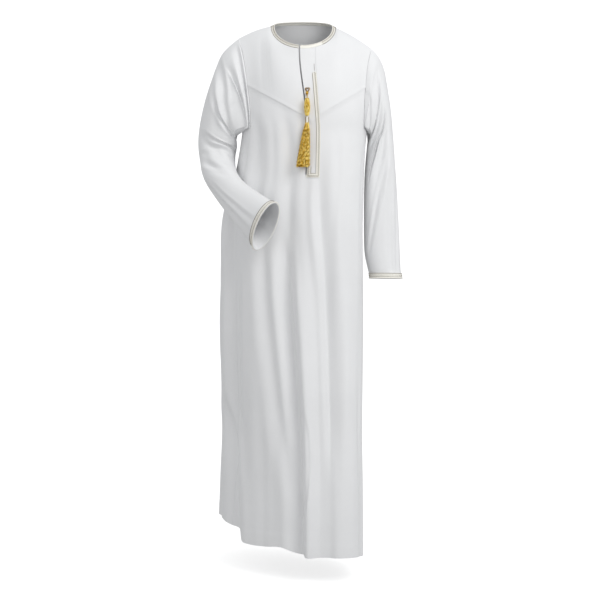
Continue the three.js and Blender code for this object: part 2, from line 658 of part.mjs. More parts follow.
/** Point in front of the slit at a height, standing off the front panel. */
function beforeSlit(grid, column, z, x, off) {
  const row = grid.findIndex((points) => points[column].z < z);
  const [above, below] = [grid[row - 1][column], grid[row][column]];
  const t = (z - above.z) / (below.z - above.z);
  return new THREE.Vector3(x, lerp(above.y, below.y, t) - off, z);
}

/** The thread loop sewn at the slit, its knot, and the cord down to the knob. */
function tasselCord(at, knobAt) {
  const off = LAID_TOP + LAY;
  const loopAt = at(TASSEL.loopTop - TASSEL.loop / 2, TASSEL.x + 1, off + TASSEL.cord + TASSEL.loopOff);
  const knotAt = at(TASSEL.knotZ, TASSEL.x, off + TASSEL.knot);
  const loop = new THREE.TorusGeometry(TASSEL.loop, TASSEL.cord, 6, 3);
  loop.rotateZ(-Math.PI / 2);
  loop.rotateX(Math.PI / 2 - TASSEL.loopLean);
  loop.translate(...loopAt.toArray());
  const knot = new THREE.SphereGeometry(TASSEL.knot, 10, 7);
  knot.translate(...knotAt.toArray());
  const foot = knobAt.clone().setZ(knobAt.z + KNOB_PROFILE[0].z + LAY);
  const cord = capped([knotAt, foot].map((centre) => (
    spaced(0, 2 * Math.PI, 8).slice(0, -1).map((turn) => centre.clone().add(
      new THREE.Vector3(TASSEL.throat * Math.cos(turn), TASSEL.throat * Math.sin(turn), 0))))));
  return fused([loop, knot, cord]);
}

/** The tassel's neck with its threads fused into it. */
function tasselSkirt(at, knobAt) {
  const top = knobAt.clone().setZ(TASSEL.skirtTop);
  const foot = at(TASSEL.skirtFoot, TASSEL.footX, LAID_TOP + LAY + STRANDS.deep + 2 * STRANDS.thick);
  const half = (TASSEL.neckTop - TASSEL.neckFoot) / 2;
  const profile = table(["r", "z"], [
    [0, half], [TASSEL.neck - 1, half], [TASSEL.neck, half - 3], [TASSEL.neck, -half], [0, -half]]);
  const neck = turnedBody(profile, 14, knobAt.clone().setZ(TASSEL.neckTop - half - LAY));
  const strands = Array.from({ length: STRANDS.count }, (_, k) => strand(k, top, foot));
  return fused([neck, ...strands]);
}

// ---------------------------------------------------------------- assembly
const thobe = new THREE.Group();

function addPiece(name, geometry, finish) {
  const mesh = new THREE.Mesh(geometry, new THREE.MeshStandardMaterial(finish));
  mesh.name = name;
  thobe.add(mesh);
  return mesh;
}

/** Normals of a panel. Along the shoulder seam front and back share one, square to the seam. */
function panelNormals(grid, columns, sign) {
  const normals = gridNormals(grid, false, sign);
  columns.forEach((degrees, col) => {
    if (Math.abs(degrees) < NECK_SHARE * PANEL_EDGE) return;
    const side = degrees < 0 ? SIDES.right : SIDES.left;
    const run = side.tip.x - (NECK.centreX + side.sign * NECK.halfWidth);
    const drop = side.tip.z - side.neckZ;
    normals[0][col].set(-drop * side.sign, 0, run * side.sign).normalize();
  });
  const face = sign > 0 ? "front" : "back";
  for (let row = ARMPIT_ROW; row < grid.length; row += 1) {
    const level = [ARMPIT_Z, ...LOWER_LEVELS][row - ARMPIT_ROW];
    columns.forEach((degrees, col) => {
      normals[row][col].copy(bodyNormal(lowerAngle(face, degrees / PANEL_EDGE, level), grid[row][col].z));
    });
  }
  return normals;
}

const front = panelGrid("front", FRONT_COLUMNS);
const back = panelGrid("back", BACK_COLUMNS);
const gores = { right: goreGrid(-1), left: goreGrid(1) };
const frontNormals = panelNormals(front, FRONT_COLUMNS, 1);
const backNormals = panelNormals(back, BACK_COLUMNS, -1);

const columnOf = (degrees) => FRONT_COLUMNS.indexOf(degrees);
const slitCell = columnOf(SLIT[0]);

addPiece("front_panel", panelWall(front, frontNormals,
  (row, col) => col !== slitCell || row >= SLIT_END_ROW), CLOTH);
addPiece("back_panel", panelWall(back, backNormals), CLOTH);
for (const [name, gore] of Object.entries(gores)) {
  const normals = gore.map((points) => points.map((point, col) => (
    bodyNormal(SIDES[name].sign * GORE_COLUMNS[col], point.z))));
  addPiece(`side_gore_${name}`, panelWall(gore, normals), CLOTH);
}

const placketCol = columnOf(PLACKET_EDGE);
addPiece("front_yoke_right", laidOn(front, frontNormals, [0, YOKE_ROW], [0, slitCell]), CLOTH);
addPiece("front_yoke_left", laidOn(front, frontNormals, [0, YOKE_ROW],
  [placketCol, FRONT_COLUMNS.length - 1]), CLOTH);
addPiece("back_yoke", laidOn(back, backNormals, [0, YOKE_ROW], [0, BACK_COLUMNS.length - 1]), CLOTH);

// The placket strip beside the slit, and its braid down one edge and along the foot.
const placketCols = [slitCell + 1, placketCol];
addPiece("placket", laidOn(front, frontNormals, [0, SLIT_END_ROW + 1], placketCols), CLOTH);

/** The braid lies on the placket: down its outer edge, along its foot and a little way up again. */
function braid() {
  const [from, to] = placketCols;
  const startRow = front.findIndex((points) => points[to].z < BRAID_TOP_Z);
  const part = (layer) => layer.slice(startRow, SLIT_END_ROW + 2).map((points) => points.slice(from, to + 1));
  const [points, outward] = [part(front), part(frontNormals)];
  const base = 2 * LAY + TRIM_WALL;
  const [low, high] = [base, base + TRIM_WALL].map((by) => drawnBack(moved(points, outward, by), 2.5 * SEAM));
  const [footRow, edgeCol, returnCol] = [
    SLIT_END_ROW - startRow, columnOf(BRAID_EDGE) - from, columnOf(BRAID_RETURN) - from];
  return wallBetween(high, low, false, (row, col) => (
    row >= footRow || col >= edgeCol || (row === footRow - 1 && col < returnCol)));
}
addPiece("placket_braid", braid(), GOLD);

/** The neck band: one strip that stands inside the neck's edge all round, open at the slit. */
function neckBand() {
  const edge = (face, columns) => columns.map((degrees) => topEdge(face, degrees / PANEL_EDGE));
  const inNeck = (from, to) => (degrees) => degrees >= from && degrees <= to;
  const loop = [
    ...edge("front", FRONT_COLUMNS.filter(inNeck(-38, SLIT[0])).reverse()),
    ...edge("back", BACK_COLUMNS.filter(inNeck(-37, 37))),
    ...edge("front", FRONT_COLUMNS.filter(inNeck(SLIT[1], 38)).reverse()),
  ];
  const centre = new THREE.Vector3(NECK.centreX, NECK.middleY, 0);
  const riseAt = (point) => {
    const [end, endY] = point.y < NECK.seamY ? ["front", NECK.frontY] : ["back", NECK.backY];
    const share = (point.y - NECK.seamY) / (endY - NECK.seamY);
    return lerp(NECK.bandRise.side, NECK.bandRise[end], smooth(0, 1, share));
  };
  const ring = (inward, lift) => loop.map((point) => {
    const rise = riseAt(point);
    const towards = centre.clone().sub(point).setZ(0).normalize().setZ(rise).normalize();
    const outward = towards.clone().setZ(0).normalize().multiplyScalar(-rise).setZ(1).normalize();
    return point.clone().addScaledVector(towards, inward).addScaledVector(outward, lift);
  });
  const layer = (lift) => drawnBack([ring(3 * SEAM, lift), ring(BAND_WIDTH, lift)], SEAM);
  return wallBetween(layer(0), layer(-TRIM_WALL), false);
}
addPiece("neck_band", neckBand(), CREAM);

// The right sleeve is bent. It is one cut piece, but two solids that meet at the elbow.
const SLEEVES = {
  right: { rings: RIGHT_RINGS, folds: RIGHT_SLEEVE_FOLDS, column: 0, partedRow: ELBOW_ROW },
  left: { rings: LEFT_RINGS, folds: LEFT_SLEEVE_FOLDS, column: -1, partedRow: null },
};
for (const [name, sleeve] of Object.entries(SLEEVES)) {
  const side = SIDES[name];
  const edge = armhole(front, gores[name], back, sleeve.column);
  const { grid, normals } = sleeveGrid(edge, sleeve.rings, sleeve.folds, side, sleeve.partedRow);
  const stretches = sleeve.partedRow === null ? [["", 0, grid.length]]
    : [["_upper", 0, sleeve.partedRow + 1], ["_lower", sleeve.partedRow + 1, grid.length]];
  const inner = moved(grid, normals, -WALL);
  for (const [stretch, from, to] of stretches) {
    const wall = wallBetween(grid.slice(from, to), inner.slice(from, to), true);
    addPiece(`sleeve_${name}${stretch}`, wall, CLOTH);
  }
  const ring = (by) => moved(grid.slice(-2), normals.slice(-2), by);
  addPiece(`cuff_trim_${name}`, wallBetween(ring(LAY + TRIM_WALL), ring(LAY), true), GOLD);
}

const slitColumn = slitCell + 1;
const before = (z, x, off) => beforeSlit(front, slitColumn, z, x, off);
const knobAt = before(TASSEL.knobZ, TASSEL.x, LAID_TOP + LAY + TASSEL.knobOff);
addPiece("tassel_cord", tasselCord(before, knobAt), GOLD);
addPiece("tassel_knob", turnedBody(KNOB_PROFILE, 16, knobAt), GOLD);
addPiece("tassel_skirt", tasselSkirt(before, knobAt), GOLD);

export default thobe;
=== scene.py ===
"""A long white thobe as it hangs when worn: hollow, with a trimmed slit, a pointed yoke and a tassel.

Sizes are millimetres in the part's own frame: the origin is at the middle of the neck, level with
the highest point of the shoulders, +Z is up and the front faces -Y. "Left" and "right" are the
wearer's, so the right sleeve is at -X. Meshes are written in metres.
"""
from __future__ import annotations

import logging
import math
from dataclasses import dataclass, field
from enum import Enum

import bpy
import numpy as np
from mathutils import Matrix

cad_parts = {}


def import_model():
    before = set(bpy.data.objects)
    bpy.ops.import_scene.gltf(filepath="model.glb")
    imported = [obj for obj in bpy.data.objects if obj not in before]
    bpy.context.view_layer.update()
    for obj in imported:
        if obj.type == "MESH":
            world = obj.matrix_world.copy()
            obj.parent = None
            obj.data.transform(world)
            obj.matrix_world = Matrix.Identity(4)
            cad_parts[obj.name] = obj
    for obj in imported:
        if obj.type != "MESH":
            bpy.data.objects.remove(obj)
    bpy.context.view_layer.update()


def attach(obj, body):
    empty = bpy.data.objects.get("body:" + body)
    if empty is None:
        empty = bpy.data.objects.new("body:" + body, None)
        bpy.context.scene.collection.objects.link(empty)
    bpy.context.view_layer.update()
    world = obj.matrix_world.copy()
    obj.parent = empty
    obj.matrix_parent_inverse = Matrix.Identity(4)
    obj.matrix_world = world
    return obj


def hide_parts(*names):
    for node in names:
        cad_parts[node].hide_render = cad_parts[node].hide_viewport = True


LOG = logging.getLogger("thobe")
MM = 0.001
Array = np.ndarray


# ---------------------------------------------------------------- numbers and curves
def smoothstep(start: float, end: float, value: Array) -> Array:
    """Ease from 0 at start to 1 at end: 3t^2 - 2t^3 of the clipped share t."""
    t = np.clip((value - start) / (end - start), 0.0, 1.0)
    return t * t * (3 - 2 * t)


def mix(a: Array, b: Array, t: Array) -> Array:
    """Straight blend from a to b by the share t."""
    return a + (b - a) * t


def unit(vectors: Array) -> Array:
    """Vectors along the last axis, brought to length 1."""
    return vectors / np.maximum(np.linalg.norm(vectors, axis=-1, keepdims=True), 1e-9)


class Table:
    """Rows of numbers with named columns."""

    def __init__(self, columns: str, rows: list[tuple[float, ...]]) -> None:
        """Keep each named column as an array."""
        self.values = {name: np.array(column, float) for name, column in zip(columns.split(), zip(*rows))}

    def __getitem__(self, name: str) -> Array:
        """One column."""
        return self.values[name]

    def rows(self) -> list[dict[str, float]]:
        """Each row as a dictionary."""
        return [dict(zip(self.values, row)) for row in zip(*self.values.values())]

    def curve(self, key: str, name: str, at: Array) -> Array:
        """Read one column on a smooth curve through the rows.

        The curve is a cubic Hermite between rows, its slope at a row that of the line from the
        row before to the row after, and 0 at the first and last rows.

        Args:
            key: column that says where each row stands.
            name: column to read.
            at: places at which to read it.

        Returns:
            The column's value at each place.
        """
        keys, values = self[key], self[name]
        if keys[0] > keys[-1]:
            keys, values = keys[::-1], values[::-1]
        slopes = np.zeros_like(values)
        slopes[1:-1] = (values[2:] - values[:-2]) / (keys[2:] - keys[:-2])
        at = np.clip(at, keys[0], keys[-1])
        k = np.clip(np.searchsorted(keys, at, side="right") - 1, 0, len(keys) - 2)
        span = keys[k + 1] - keys[k]
        t = (at - keys[k]) / span
        return hermite(values[k], slopes[k] * span, values[k + 1], slopes[k + 1] * span, t)


def hermite(a: Array, leave: Array, b: Array, arrive: Array, t: Array) -> Array:
    """Cubic from a to b that leaves a along one tangent and arrives at b along another."""
    t2, t3 = t * t, t * t * t
    return (2 * t3 - 3 * t2 + 1) * a + (t3 - 2 * t2 + t) * leave + (3 * t2 - 2 * t3) * b + (t3 - t2) * arrive


def stacked(*parts: Array) -> Array:
    """X, Y and Z arrays, broadcast together and joined as points."""
    return np.stack(np.broadcast_arrays(*parts), axis=-1).astype(float)


# ---------------------------------------------------------------- the garment's form
class Face(Enum):
    """The two body panels and which way each faces along Y."""

    FRONT = -1
    BACK = 1


WALL = 1.3
TRIM_WALL = 1.0
LAY = 0.35
SEAM = 0.22
ARMPIT_Z = -290.0
HEM_LEVEL = -1463.0
PANEL_EDGE = 60.0
NECK_EDGE = 38.0
UNDERARM_DIP = 16.0
BAND_WIDTH = 11.0
SLIT = (-6.3, -5.3)
PLACKET_EDGE = 6.0
SLIT_END_Z = -425.5
SLEEVE_SET = 0.6
SHARP_EDGE = 50.0
# Heights on the middle line that are inside each piece of cloth.
PANEL_MIDDLE, GORE_MIDDLE = -700.0, -800.0
YOKE_MIDDLE, PLACKET_MIDDLE = -250.0, -300.0

FOLD_COLUMNS = "top foot start middle end width depth lean at_hem"
# The largest folds, the same as in the part's solids. A trough runs down from one height and
# angle to another. Width is in degrees, depth in millimetres, and lean makes one side steeper.
# A negative depth makes a ridge.
MAIN_FOLDS = Table(FOLD_COLUMNS, [
    (-225, -800, -25, -12.5, -9.5, 4.6, 8, 0, 0),
    (-540, -1480, -18, -6.5, -1, 4.6, 22, 0.15, 1),
    (-600, -1480, -3, 3.5, 5, 6.5, -6, 0, 1),
    (-520, -1360, -33, -23.5, -7, 4.4, 8.5, 0.1, 0),
    (-330, -1300, 7.5, 19, 23, 4.8, 12, -0.3, 0),
    (-430, -1320, -64, -63, -58, 9, 15, -0.35, 0),
    (-1020, -1480, -80, -60, -54, 5.5, 11, 0.25, 1),
    (-250, -530, -53, -46, -38, 5.5, 6, 0, 0),
    (-620, -1480, 10, 13, 14, 9, 10, -0.5, 1),
    (-620, -1480, 92, 86, 84, 9, 9, 0, 1),
    (-560, -1480, 121, 117, 116, 7, 9, 0.2, 1),
    (-330, -1480, 147, 142, 139, 6.5, 11, -0.2, 1),
    (-480, -1480, 166, 165, 168, 6, 9, 0.1, 1),
    (-300, -1480, 186, 188, 193, 6.5, 12, 0.2, 1),
    (-640, -1480, 208, 211, 214, 7, 10, -0.15, 1),
    (-380, -1480, 233, 231, 229, 7, 10, 0.1, 1),
    (-700, -1480, 258, 256, 255, 8, 9, 0, 1),
])
# Finer creases between them.
FINE_FOLDS = Table(FOLD_COLUMNS, [
    (-700, -1130, -5.5, -3, 2.5, 0.9, 2.4, 0.3, 0),
    (-1060, -1420, 1.5, 5.8, -0.5, 1.3, 3.0, 0.4, 0),
    (-1290, -1392, -2, -1.5, -1, 1.8, 4.0, 0.2, 0),
    (-250, -640, -36, -30, -33, 3.0, 1.6, 0, 0),
    (-300, -620, 24, 27, 22, 3.4, 1.4, 0, 0),
    (-900, -1480, 18, 21, 23, 3.0, 1.5, 0.2, 1),
    (-980, -1480, 54, 57, 58, 3.4, 2.6, -0.2, 1),
    (-1080, -1480, -34, -31, -30, 3.0, 2.0, 0.2, 1),
    (-640, -1200, -58, -56, -60, 3.0, 2.4, 0, 0),
    (-900, -1480, -88, -84, -82, 3.4, 3.6, 0, 1),
    (-420, -900, -72, -76, -79, 3.5, 2.8, 0, 0),
    (-360, -800, 74, 70, 66, 3.2, 2.6, 0, 0),
    (-800, -1480, 104, 102, 100, 3.0, 3.4, 0.2, 1),
    (-540, -1300, 155, 154, 151, 2.8, 3.0, 0, 0),
    (-860, -1480, 178, 179, 181, 2.6, 3.4, 0.2, 1),
    (-420, -1050, 199, 201, 204, 3.0, 3.0, 0, 0),
    (-900, -1480, 222, 221, 219, 2.8, 3.4, 0, 1),
    (-560, -1300, 244, 245, 242, 3.0, 2.6, 0, 0),
])


@dataclass
class BodyForm:
    """The shape of the body: sections below the armpits, panels that close to the neck above."""

    sections: Table = field(default_factory=lambda: Table("z right left front back skew turn", [
        (-290, -173, 179, -140, 128, 8, 5.5),
        (-350, -180, 174, -141, 131, 22, 6.6),
        (-420, -194, 169, -142, 134, 40, 7.8),
        (-490, -219, 166, -142, 138, 54, 9),
        (-570, -235, 164, -146, 144, 62, 9.8),
        (-680, -238, 165, -153, 153, 66, 10),
        (-820, -240, 165, -163, 166, 72, 10),
        (-980, -238, 164, -174, 180, 85, 10),
        (-1150, -234, 162, -182, 190, 100, 10),
        (-1300, -241, 163, -188, 192, 115, 10),
        (-1500, -247, 163, -192, 198, 125, 10),
    ]))
    hem: Table = field(default_factory=lambda: Table("angle z", [
        (-180, -1448), (-120, -1428), (-90, -1414), (-75, -1414), (-60, -1424), (-53.5, -1430),
        (-51.5, -1448), (-46, -1461), (-30, -1461), (-14, -1455), (-2, -1472), (40, -1474),
        (85, -1484), (130, -1474), (180, -1448),
    ]))
    roundness: float = 2.35
    fold_fade: float = 0.24
    ridge: float = 0.34
    ridge_at: float = 2.1
    ridge_spread: float = 0.9
    ripple: float = 0.45
    ripple_fade: float = 160.0
    waves: tuple[tuple[float, ...], ...] = (
        (1.0, 17, 210, 0.7), (0.8, 29, -150, 2.1), (0.6, 11, 95, 4.0))
    back_seam: tuple[float, float, float] = (-176.0, 14.0, 170.0)
    front_seams: tuple[tuple[float, float], ...] = ((-265.0, -0.56), (-291.0, 0.62))
    leave_neck: tuple[float, float, float] = (0, 92, -200)
    leave_seam: tuple[float, float, float] = (85, 215, -75)
    leave_tip: tuple[float, float, float] = (-52, 190, -95)
    arrive: tuple[float, float, float] = (0, -4, -235)
    neck_centre_x: float = -0.5
    neck_half_width: float = 91.5
    seam_y: float = 12.0
    neck_front: tuple[float, float] = (-86.0, -77.5)
    neck_back: tuple[float, float] = (74.0, 3.0)
    front_shift: float = 0.076
    neck_side_z: tuple[float, float] = (-7.0, -11.0)
    tips: tuple[tuple[float, float, float], ...] = ((-184, 10, -42), (193, 8, -71))
    shoulder_bow: float = 4.0
    lean: float = 4.3
    lean_reach: float = 34.0
    lean_at_armpit: float = 0.6
    tuck: float = 2.4
    tuck_start: float = 9.0
    tuck_reach: float = 62.0
    edge_ease: float = 0.07
    edge_reach: float = 0.12

    def folds(self, angle: Array, z: Array) -> Array:
        """How far the cloth stands out from the plain section.

        Each fold is a bell-shaped trough across its path, with a lower ridge on either side, and
        it fades in and out along its length. A path is the parabola through three angles.

        Args:
            angle: angle round the body in degrees, 0 at the front and 90 at the wearer's left.
            z: height.

        Returns:
            Distance outward in millimetres.
        """
        angle, z = np.broadcast_arrays(angle, z)
        out = np.zeros(angle.shape)
        for row in MAIN_FOLDS.rows() + FINE_FOLDS.rows():
            t = (row["top"] - z) / (row["top"] - row["foot"])
            path = (row["start"] * (2 * t - 1) * (t - 1) + 4 * row["middle"] * t * (1 - t)
                    + row["end"] * t * (2 * t - 1))
            off = angle - path
            off = off - 360 * np.round(off / 360)
            across = off / (row["width"] * np.where(off > 0, 1 - row["lean"], 1 + row["lean"]))
            ridge = self.ridge * np.exp(-((np.abs(across) - self.ridge_at) ** 2) / self.ridge_spread)
            fade = smoothstep(0, self.fold_fade, t)
            if not row["at_hem"]:
                fade = fade * smoothstep(1, 1 - self.fold_fade, t)
            out += row["depth"] * fade * (ridge - np.exp(-across ** 2))
        return out + self.ripples(angle, z)

    def ripples(self, angle: Array, z: Array) -> Array:
        """Slight unevenness of hanging cloth: long low waves at three uneven spacings.

        Each wave has a height, a count round the body, a length down it and a phase.
        """
        turn = np.radians(angle)
        waves = sum(high * np.sin(count * turn + z / length + phase)
                    for high, count, length, phase in self.waves)
        return self.ripple * waves * smoothstep(ARMPIT_Z, ARMPIT_Z - self.ripple_fade, z)

    def section(self, angle: Array, z: Array) -> Array:
        """Point of the plain section: a superellipse, turned, with its left side set back."""
        size = {name: self.sections.curve("z", name, z) for name in self.sections.values if name != "z"}
        turned = np.radians(angle + size["turn"])
        s, c = np.sin(turned), np.cos(turned)
        q = (np.abs(s) ** self.roundness + np.abs(c) ** self.roundness) ** (-1 / self.roundness)
        return stacked(
            (size["right"] + size["left"]) / 2 + (size["left"] - size["right"]) / 2 * s * q,
            (size["front"] + size["back"]) / 2 - (size["back"] - size["front"]) / 2 * c * q
            - size["skew"] * s * q,
            z)

    def surface(self, angle: Array, z: Array) -> Array:
        """Point of the body below the armpits, with its folds, moved square to the section."""
        angle, z = np.broadcast_arrays(np.asarray(angle, float), np.asarray(z, float))
        tangent = self.section(angle + 0.5, z) - self.section(angle - 0.5, z)
        outward = unit(stacked(tangent[..., 1], -tangent[..., 0], np.zeros(z.shape)))
        plain = self.section(angle, z)
        on_front = smoothstep(95, 60, np.abs(angle - 360 * np.round(angle / 360)))
        out = self.folds(angle, z) - on_front * self.yoke_tuck(plain[..., 0], z)
        return plain + outward * out[..., None]

    def yoke_seam(self, face: Face, x: Array) -> Array:
        """Height of the yoke's seam: a V on the front, nearly level on the back."""
        if face is Face.BACK:
            height, rise, reach = self.back_seam
            return height + rise * (x / reach) ** 2
        return np.maximum(*(height + slope * x for height, slope in self.front_seams))

    def yoke_tuck(self, x: Array, z: Array) -> Array:
        """How far the front sets back below the yoke's seam: at once, then less and less."""
        below = np.maximum(self.yoke_seam(Face.FRONT, x) - z, 0)
        return self.tuck * (1 - np.exp(-(below / self.tuck_start) ** 2)) * np.exp(-below / self.tuck_reach)

    def leaned(self, face: Face, u: Array, share: Array) -> Array:
        """Column u, moved with the slit and placket, which lean to the left on their way down.

        The move is a bell round the front's middle that is 0 at the panel's edges.
        """
        if face is Face.BACK:
            return u
        near = np.exp(-((PANEL_EDGE * u / self.lean_reach) ** 2)) * (1 - u * u)
        return u + self.lean * near * share / PANEL_EDGE

    def upper(self, face: Face, u: Array, v: Array) -> Array:
        """Point of a panel's column above the armpit level, with the lean."""
        return self.shoulder(face, self.leaned(face, u, self.lean_at_armpit * v * v), v)

    def lower_angle(self, face: Face, u: Array, level: Array) -> Array:
        """Angle of a panel's column at a level below the armpits, with the lean."""
        down = np.clip((ARMPIT_Z - level) / (ARMPIT_Z - SLIT_END_Z), 0, 1)
        return self.angle_of(face, self.leaned(face, u, mix(self.lean_at_armpit, 1, down)))

    def lower(self, face: Face, u: Array, share: Array) -> Array:
        """Point of a panel's column at a share of the way from the armpit level to the hem."""
        angle = self.lower_angle(face, u, mix(ARMPIT_Z, HEM_LEVEL, share))
        return self.surface(angle, mix(ARMPIT_Z, self.hem_z(angle), share))

    def hem_z(self, angle: Array) -> Array:
        """Height of the hem at an angle."""
        return self.hem.curve("angle", "z", np.where(angle > 180, angle - 360, angle))

    def angle_of(self, face: Face, u: Array) -> Array:
        """Angle round the body of a panel's column: u runs from -1 at the right to 1."""
        return PANEL_EDGE * u if face is Face.FRONT else 180 - PANEL_EDGE * u

    def top_edge(self, face: Face, u: Array) -> Array:
        """Top edge of a panel: straight shoulder seams and a half-oval neck between them."""
        u = np.asarray(u, float)
        share = u / (NECK_EDGE / PANEL_EDGE)
        right = u < 0
        side_z = np.where(right, *self.neck_side_z)
        shift = self.front_shift * (1 - share ** 2) if face is Face.FRONT else 0.0
        turn = (np.clip(share, -1, 1) + np.where(np.abs(share) < 1, shift, 0)) * np.pi / 2
        low_y, low_z = self.neck_front if face is Face.FRONT else self.neck_back
        neck = stacked(self.neck_centre_x + self.neck_half_width * np.sin(turn),
                       mix(self.seam_y, low_y, np.cos(turn)), mix(side_z, low_z, np.cos(turn)))
        t = np.clip((np.abs(share) - 1) / (PANEL_EDGE / NECK_EDGE - 1), 0, 1)[..., None]
        tip = np.where(right[..., None], np.array(self.tips[0], float), np.array(self.tips[1], float))
        side_x = self.neck_centre_x + np.where(right, -1, 1) * self.neck_half_width
        side = stacked(side_x, self.seam_y, side_z)
        bow = stacked(0.0 * u, 0.0 * u, self.shoulder_bow * np.sin(np.pi * t[..., 0]))
        return np.where((np.abs(share) <= 1)[..., None], neck, mix(side, tip, t) + bow)

    def even_edge(self, face: Face, u: Array) -> Array:
        """The top edge with the corner at the neck's side eased: a mean of points either side."""
        near = self.edge_ease * (1 - u * u)
        steps = (-2, -1, 0, 1, 2)
        return sum(self.top_edge(face, u + step * near) for step in steps) / len(steps)

    def shoulder(self, face: Face, u: Array, v: Array) -> Array:
        """Point of a panel between its top edge (v = 0) and the armpit level (v = 1).

        Each column is a cubic that leaves the top edge forwards over the shoulder, or down below
        the neck, and meets the body's first section pointing down.

        Args:
            face: front or back.
            u: column, from -1 at the wearer's right to 1.
            v: share of the way down.

        Returns:
            Points with a last axis of 3.
        """
        u, v = np.broadcast_arrays(np.asarray(u, float), np.asarray(v, float))
        forward = face.value
        angle = self.angle_of(face, u)
        top, foot = self.top_edge(face, u), self.surface(angle, np.full(u.shape, ARMPIT_Z))
        share = np.minimum(np.abs(u) * PANEL_EDGE / NECK_EDGE, 1)
        to_tip = np.maximum((np.abs(u) - NECK_EDGE / PANEL_EDGE) / (1 - NECK_EDGE / PANEL_EDGE), 0)
        zero, sign = np.zeros(u.shape), np.sign(u)
        at_neck, at_seam, at_tip, arrive = (
            stacked(x * sign, y * forward, z)
            for x, y, z in (self.leave_neck, self.leave_seam, self.leave_tip, self.arrive))
        to_seam = (1 - np.cos(share * np.pi)) / 2
        to_tip = to_tip * to_tip * (3 - 2 * to_tip)
        leave = mix(mix(at_neck, at_seam, to_seam[..., None]), at_tip, to_tip[..., None])
        bow = self.folds(angle, mix(top[..., 2], ARMPIT_Z, v)) * smoothstep(0.2, 0.9, v)
        at_foot = self.folds(angle, np.full(u.shape, ARMPIT_Z)) * smoothstep(0, 1, v)
        even = self.even_edge(face, u)
        points = hermite(even, leave, foot, arrive, v[..., None])
        points = points + (top - even) * np.exp(-(v / self.edge_reach) ** 2)[..., None]
        out = bow - at_foot
        if face is Face.FRONT:
            at_foot = self.yoke_tuck(foot[..., 0], foot[..., 2]) * smoothstep(0, 1, v)
            out = out + at_foot - self.yoke_tuck(points[..., 0], points[..., 2])
        return points + stacked(zero, forward * out, zero)

    def yoke_share(self, face: Face, u: Array) -> Array:
        """Share of each column at which the yoke seam crosses it, found by halving."""
        low, high = np.zeros(u.shape), np.ones(u.shape)
        for _ in range(24):
            middle = (low + high) / 2
            point = self.upper(face, u, middle)
            above = point[..., 2] > self.yoke_seam(face, point[..., 0])
            low, high = np.where(above, middle, low), np.where(above, high, middle)
        return low


# ---------------------------------------------------------------- meshes from grids
def grid_normals(grid: Array, wraps: bool = False) -> Array:
    """Unit normals of a grid: the cross product of the steps down and across it."""
    if wraps:
        across = np.roll(grid, -1, axis=1) - np.roll(grid, 1, axis=1)
    else:
        across = np.gradient(grid, axis=1)
    return unit(np.cross(np.gradient(grid, axis=0), across))


def facing_out(normals: Array, grid: Array, centre: Array) -> Array:
    """Turn a grid's normals round if most of them point towards its centre."""
    return normals if np.sum(normals * (grid - centre)) > 0 else -normals


def wall_quads(rows: int, cols: int, wraps: bool, keep: Array | None) -> Array:
    """Faces of a closed wall between two layers of a grid.

    Args:
        rows: rows of points in a layer.
        cols: columns of points in a layer.
        wraps: whether the last column joins the first.
        keep: which cells exist, or None for all.

    Returns:
        Rows of four point numbers. The second layer's numbers follow the first's.
    """
    cells = cols if wraps else cols - 1
    keep = np.ones((rows - 1, cells), bool) if keep is None else keep
    row, col = np.meshgrid(np.arange(rows - 1), np.arange(cells), indexing="ij")
    after = (col + 1) % cols
    a, b, c, d = row * cols + col, (row + 1) * cols + col, (row + 1) * cols + after, row * cols + after
    e, f, g, h = (corner + rows * cols for corner in (a, b, c, d))
    padded = np.pad(keep, 1)
    if wraps:
        padded[1:-1, 0], padded[1:-1, -1] = keep[:, -1], keep[:, 0]
    middle = padded[1:-1, 1:-1]
    sides = [
        (middle, (a, b, c, d)), (middle, (e, h, g, f)),
        (middle & ~padded[:-2, 1:-1], (a, d, h, e)), (middle & ~padded[2:, 1:-1], (b, f, g, c)),
        (middle & ~padded[1:-1, :-2], (a, e, f, b)), (middle & ~padded[1:-1, 2:], (d, c, g, h)),
    ]
    return np.concatenate([np.stack([corner[mask] for corner in quad], axis=-1) for mask, quad in sides])


